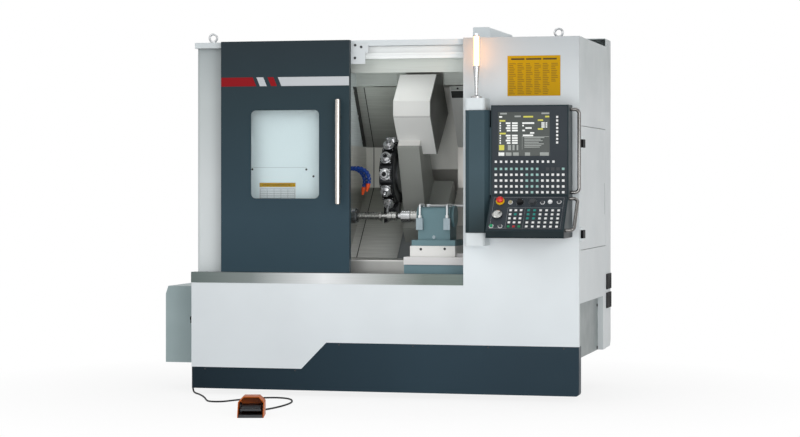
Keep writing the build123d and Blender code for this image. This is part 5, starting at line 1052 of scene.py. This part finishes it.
# Caps of the keys on the upright face and on the desk
PLATE_FRONT = -0.572
KEY_FRONT = -0.575
DISPLAY_X = 0.7275
DISPLAY_WIDTH = 0.390
SCREEN_X = 0.7575
SCREEN_WIDTH = 0.270
SCREEN_Z = 1.277
SCREEN_HEIGHT = 0.226
KEYPAD_Z = 1.075
KEYPAD_HEIGHT = 0.150
SOFT_COLUMN_SHARE = 0.87
SOFT_ROW_Z = 1.24698
CAP_PROUD = 0.0014
CAP_SUNK = 0.0004
CAP_EDGE = 0.0009
DESK_CAP_HALF = 0.0065
DESK_CAP_OUT = (0.0056, 0.0075)
UNKEYED_COLUMN = 9
WHITE, MINT, TEAL, GREEN, RED = range(5)
caps = bmesh.new()


def add_face_cap(x, z, width, height, slot, back=KEY_FRONT):
    """A cap on the upright face, down to the front of its key or of the bare plate."""
    across = (x - width / 2, x + width / 2)
    upright = (z - height / 2, z + height / 2)
    add_field(caps, across, upright, KEY_FRONT, CAP_PROUD, slot, back - KEY_FRONT + CAP_SUNK, CAP_EDGE)


def add_desk_cap(across, up, slot):
    x, y, _ = desk_spot(across, up)
    low = (x - DESK_CAP_HALF, y - DESK_CAP_HALF, DESK_CAP_OUT[0])
    high = (x + DESK_CAP_HALF, y + DESK_CAP_HALF, DESK_CAP_OUT[1])
    add_plate(caps, low, high, CAP_EDGE, slot, DESK)


for share in shares_between((0.30, 0.88), 8):
    soft_x = DISPLAY_X + DISPLAY_WIDTH * SOFT_COLUMN_SHARE
    add_face_cap(soft_x, SCREEN_Z + SCREEN_HEIGHT * share, 0.011, 0.011, WHITE)
for share in shares_between((0.05, 0.82), 12):
    add_face_cap(DISPLAY_X + DISPLAY_WIDTH * share, SOFT_ROW_Z, 0.012, 0.012, WHITE)
for row, row_share in enumerate(shares_between((0.90, 0.10), 5)):
    for column, share in enumerate(shares_between((0.05, 0.95), 14)):
        if row == 0 and 8 < column < 13:
            continue
        mint = row == 0 or column == 7 or (column in (6, 8) and row < 4)
        back = PLATE_FRONT if column == UNKEYED_COLUMN else KEY_FRONT
        x = DISPLAY_X + DISPLAY_WIDTH * share
        add_face_cap(x, KEYPAD_Z + KEYPAD_HEIGHT * row_share, 0.0135, 0.012, MINT if mint else WHITE, back)
for row, up in enumerate(shares_between((0.56, 0.08), 5)):
    for column, across in enumerate(shares_between((0.28, 0.42), 3)):
        colour = (GREEN, RED, GREEN)[column] if row == 4 else TEAL if (row, column) == (1, 1) else WHITE
        add_desk_cap(across, up, colour)
    for column, across in enumerate(shares_between((0.52, 0.92), 6)):
        add_desk_cap(across, up, TEAL if column < 2 and row < 3 else WHITE)
add_piece("key_caps", caps, "pendant", "key_plastic", cap_white, cap_mint, cap_teal, cap_green, cap_red)

# Thin lines on the desk plate, scale ticks round its knobs and rings round its buttons
DESK_FACE = 0.003
LINE_HALF = 0.0005
LINE_SUNK = 0.0001
LINE_PROUD = 0.0003
TICK_REACH = (0.0195, 0.0235)
desk_frames = ((0.020, 0.384, 0.016, 0.217), (0.100, 0.190, 0.016, 0.150), (0.190, 0.384, 0.016, 0.150))
knob_spots = ((0.39, 0.80), (0.56, 0.80))
button_spots = ((0.26, 0.80), (0.69, 0.80), (0.79, 0.82), (0.91, 0.82), (0.05, 0.09), (0.17, 0.09))
ring_profile = [
    (0.0092, 0.0035),
    (0.0115, 0.0030),
    (0.0128, 0.0012),
    (0.0128, -0.0001),
    (0.0092, -0.0001),
    (0.0092, 0.0035),
]
desk_face = DESK @ Matrix.Translation((0, 0, DESK_FACE))
lines = bmesh.new()


def add_line(x0, x1, y0, y1, place=desk_face):
    add_plate(lines, (x0, y0, -LINE_SUNK), (x1, y1, LINE_PROUD), place=place)


for x0, x1, y0, y1 in desk_frames:
    for level in (y0, y1):
        add_line(x0, x1, level - LINE_HALF, level + LINE_HALF)
    for upright in (x0, x1):
        add_line(upright - LINE_HALF, upright + LINE_HALF, y0, y1)
for across, up in knob_spots:
    middle = DESK @ Matrix.Translation(desk_spot(across, up, DESK_FACE))
    for angle in shares_between((-135, 135), 11):
        tick = middle @ Matrix.Rotation(math.radians(angle), 4, "Z")
        add_line(-LINE_HALF, LINE_HALF, *TICK_REACH, tick)
for across, up in button_spots:
    add_turned(lines, ring_profile, DESK @ Matrix.Translation(desk_spot(across, up, DESK_FACE)), 24, slot=1)
add_piece("desk_lines", lines, "pendant", "key_plastic", panel_line, screw_bright)

# Plain bars of the readout on the screen, as shares of its width and height from the lower left
SCREEN_FRONT = -0.569
BAR_PROUD = 0.0004
TOP_ROW = 0.745
ROW_PITCH = 0.056
PALE, GREY, YELLOW = range(3)
readout = bmesh.new()


def add_bar(x0, x1, z, height, slot):
    across = (SCREEN_X + SCREEN_WIDTH * x0, SCREEN_X + SCREEN_WIDTH * x1)
    upright = (SCREEN_Z + SCREEN_HEIGHT * (z - height / 2), SCREEN_Z + SCREEN_HEIGHT * (z + height / 2))
    add_field(readout, across, upright, SCREEN_FRONT, BAR_PROUD, slot)


heading_bars = (
    (0.49, 0.68, 0.89, YELLOW),
    (0.91, 0.99, 0.89, YELLOW),
    (0.02, 0.08, 0.89, PALE),
    (0.32, 0.44, 0.90, GREY),
    (0.03, 0.14, 0.80, YELLOW),
    (0.03, 0.15, 0.51, YELLOW),
    (0.77, 0.87, 0.81, YELLOW),
    (0.77, 0.87, 0.61, YELLOW),
    (0.04, 0.17, 0.965, GREY),
    (0.84, 0.99, 0.965, GREY),
)
middle_bars = ((0.47, 0.70), (0.47, 0.50), (0.53, 0.65), (0.47, 0.52), (0.62, 0.70), (0.48, 0.68))
low_bars = ((0.02, 0.12, YELLOW), (0.19, 0.25, GREY), (0.28, 0.32, GREY), (0.36, 0.39, GREY))
foot_bars = (
    (0.01, 0.12, PALE), (0.15, 0.26, GREY), (0.29, 0.40, GREY), (0.52, 0.62, GREY), (0.81, 0.98, GREY),
)
for x0, x1, z, slot in heading_bars:
    add_bar(x0, x1, z, 0.036, slot)
for group_top in (TOP_ROW, 0.462):
    for row in range(4):
        level = group_top - ROW_PITCH * row
        add_bar(0.03, 0.055, level, 0.036, PALE)
        add_bar(0.15 + 0.02 * (row % 2), 0.24, level, 0.0384, PALE)
        add_bar(0.27, 0.38, level, 0.0384, PALE)
for row, (x0, x1) in enumerate(middle_bars):
    add_bar(x0, x1, TOP_ROW - ROW_PITCH * row, 0.036, PALE)
for row in range(3):
    level = TOP_ROW - 0.045 * row
    add_bar(0.84, 0.90, level, 0.0288, PALE)
    add_bar(0.92, 0.95, level, 0.0288, PALE)
for row, length_share in enumerate(rule_length_shares):
    add_bar(0.51, 0.62 + 0.30 * length_share, 0.415 - 0.036 * row, 0.0192, GREY)
for x0, x1, slot in low_bars:
    add_bar(x0, x1, 0.19, 0.12, slot)
for x0, x1, slot in foot_bars:
    add_bar(x0, x1, 0.04, 0.078, slot)
add_bar(0.465, 0.47, 0.30, 0.312, GREY)
add_bar(0.465, 0.98, 0.435, 0.0096, GREY)
add_piece("screen_readout", readout, "pendant", "screen_glass", readout_white, readout_grey, readout_yellow)


def seen_directly(tree):
    """One for the camera's own rays and for those that gloss and glass pass on."""
    path = tree.nodes.new("ShaderNodeLightPath")
    direct = math_node(tree, "MAXIMUM", path.outputs["Is Camera Ray"], path.outputs["Is Glossy Ray"])
    return math_node(tree, "MAXIMUM", direct, path.outputs["Is Transmission Ray"])


# Floor: white further out, with the part's shadow near it
FLOOR_HALF = 60
FLOOR_SETBACK = 30
SHADOW_REACH = (1.3, 2.6)
SHADOW_WHITENESS = 0.84
floor_mesh = bpy.data.meshes.new("studio_floor")
ground = bmesh.new()
bmesh.ops.create_grid(ground, x_segments=1, y_segments=1, size=FLOOR_HALF)
bmesh.ops.translate(ground, vec=(0, FLOOR_SETBACK, 0), verts=ground.verts)
ground.to_mesh(floor_mesh)
ground.free()
floor = bpy.data.objects.new("studio_floor", floor_mesh)
scene.collection.objects.link(floor)
floor_white, tree, shader = start_material("floor_white")
shade = noise(tree, object_spot(tree), 0.6, detail=2.0)
pale = mix_colours(tree, shade, (0.93, 0.93, 0.93), (0.95, 0.95, 0.95))
tree.links.new(pale, shader.inputs["Base Color"])
shader.inputs["Roughness"].default_value = 0.7
shader.inputs["Specular IOR Level"].default_value = 0.1
plain_white = tree.nodes.new("ShaderNodeEmission")
plain_white.inputs["Color"].default_value = (1, 1, 1, 1)
distance = vector_node(tree, "LENGTH", object_spot(tree))["Value"]
whiteness = range_node(tree, distance, *SHADOW_REACH, SHADOW_WHITENESS, 1.0)
blend = tree.nodes.new("ShaderNodeMixShader")
tree.links.new(math_node(tree, "MULTIPLY", seen_directly(tree), whiteness), blend.inputs["Fac"])
tree.links.new(shader.outputs[0], blend.inputs[1])
tree.links.new(plain_white.outputs[0], blend.inputs[2])
tree.links.new(blend.outputs[0], tree.nodes["Material Output"].inputs["Surface"])
floor_mesh.materials.append(floor_white)

# World: white where it is seen, softer as a light
SKY_STRENGTH = 0.42
world = bpy.data.worlds.new("studio")
scene.world = world
world.use_nodes = True
tree = world.node_tree
sky = tree.nodes["Background"]
tree.links.new(range_node(tree, seen_directly(tree), 0, 1, SKY_STRENGTH, 1.0), sky.inputs["Strength"])
sky.inputs["Color"].default_value = (1, 1, 1, 1)


# Lights: place, target, size and power
def add_light(name, place, target, size, power):
    lamp = bpy.data.lights.new(name, "AREA")
    lamp.shape = "RECTANGLE"
    lamp.size, lamp.size_y = size
    lamp.energy = power
    holder = bpy.data.objects.new(name, lamp)
    holder.location = place
    holder.rotation_euler = (Vector(target) - Vector(place)).to_track_quat("-Z", "Y").to_euler()
    holder.visible_camera = False
    scene.collection.objects.link(holder)


add_light("key_light", (-3.5, -6.5, 4.8), (0, 0, 1.0), (4.0, 3.0), 75)
add_light("fill_light", (5.0, -6.5, 2.2), (0.4, 0, 1.0), (3.0, 3.0), 140)
add_light("top_light", (0.2, 0.2, 5.2), (0.2, 0.2, 0), (4.0, 3.0), 60)
add_light("front_light", (0.8, -3.4, 0.85), (0.3, 0, 0.85), (1.6, 1.2), 20)
add_light("work_light", (0.10, -0.13, 1.845), (0.10, -0.03, 0.8), (0.50, 0.06), 0.6)

# Camera at the photograph's place, with its lens and shift in pixels of the picture
PICTURE_WIDTH_PX = 800
LENS_PX = 2207
SHIFT_PX = -36.5
SENSOR_WIDTH = 36
camera_data = bpy.data.cameras.new("photo_camera")
camera_data.sensor_width = SENSOR_WIDTH
camera_data.lens = LENS_PX / PICTURE_WIDTH_PX * SENSOR_WIDTH
camera_data.shift_y = SHIFT_PX / PICTURE_WIDTH_PX
camera_data.clip_end = 200
camera = bpy.data.objects.new("photo_camera", camera_data)
camera.location = (2.9612, -11.7443, 1.1426)
camera.rotation_euler = (math.radians(90), 0, math.radians(13.7))
scene.collection.objects.link(camera)
scene.camera = camera
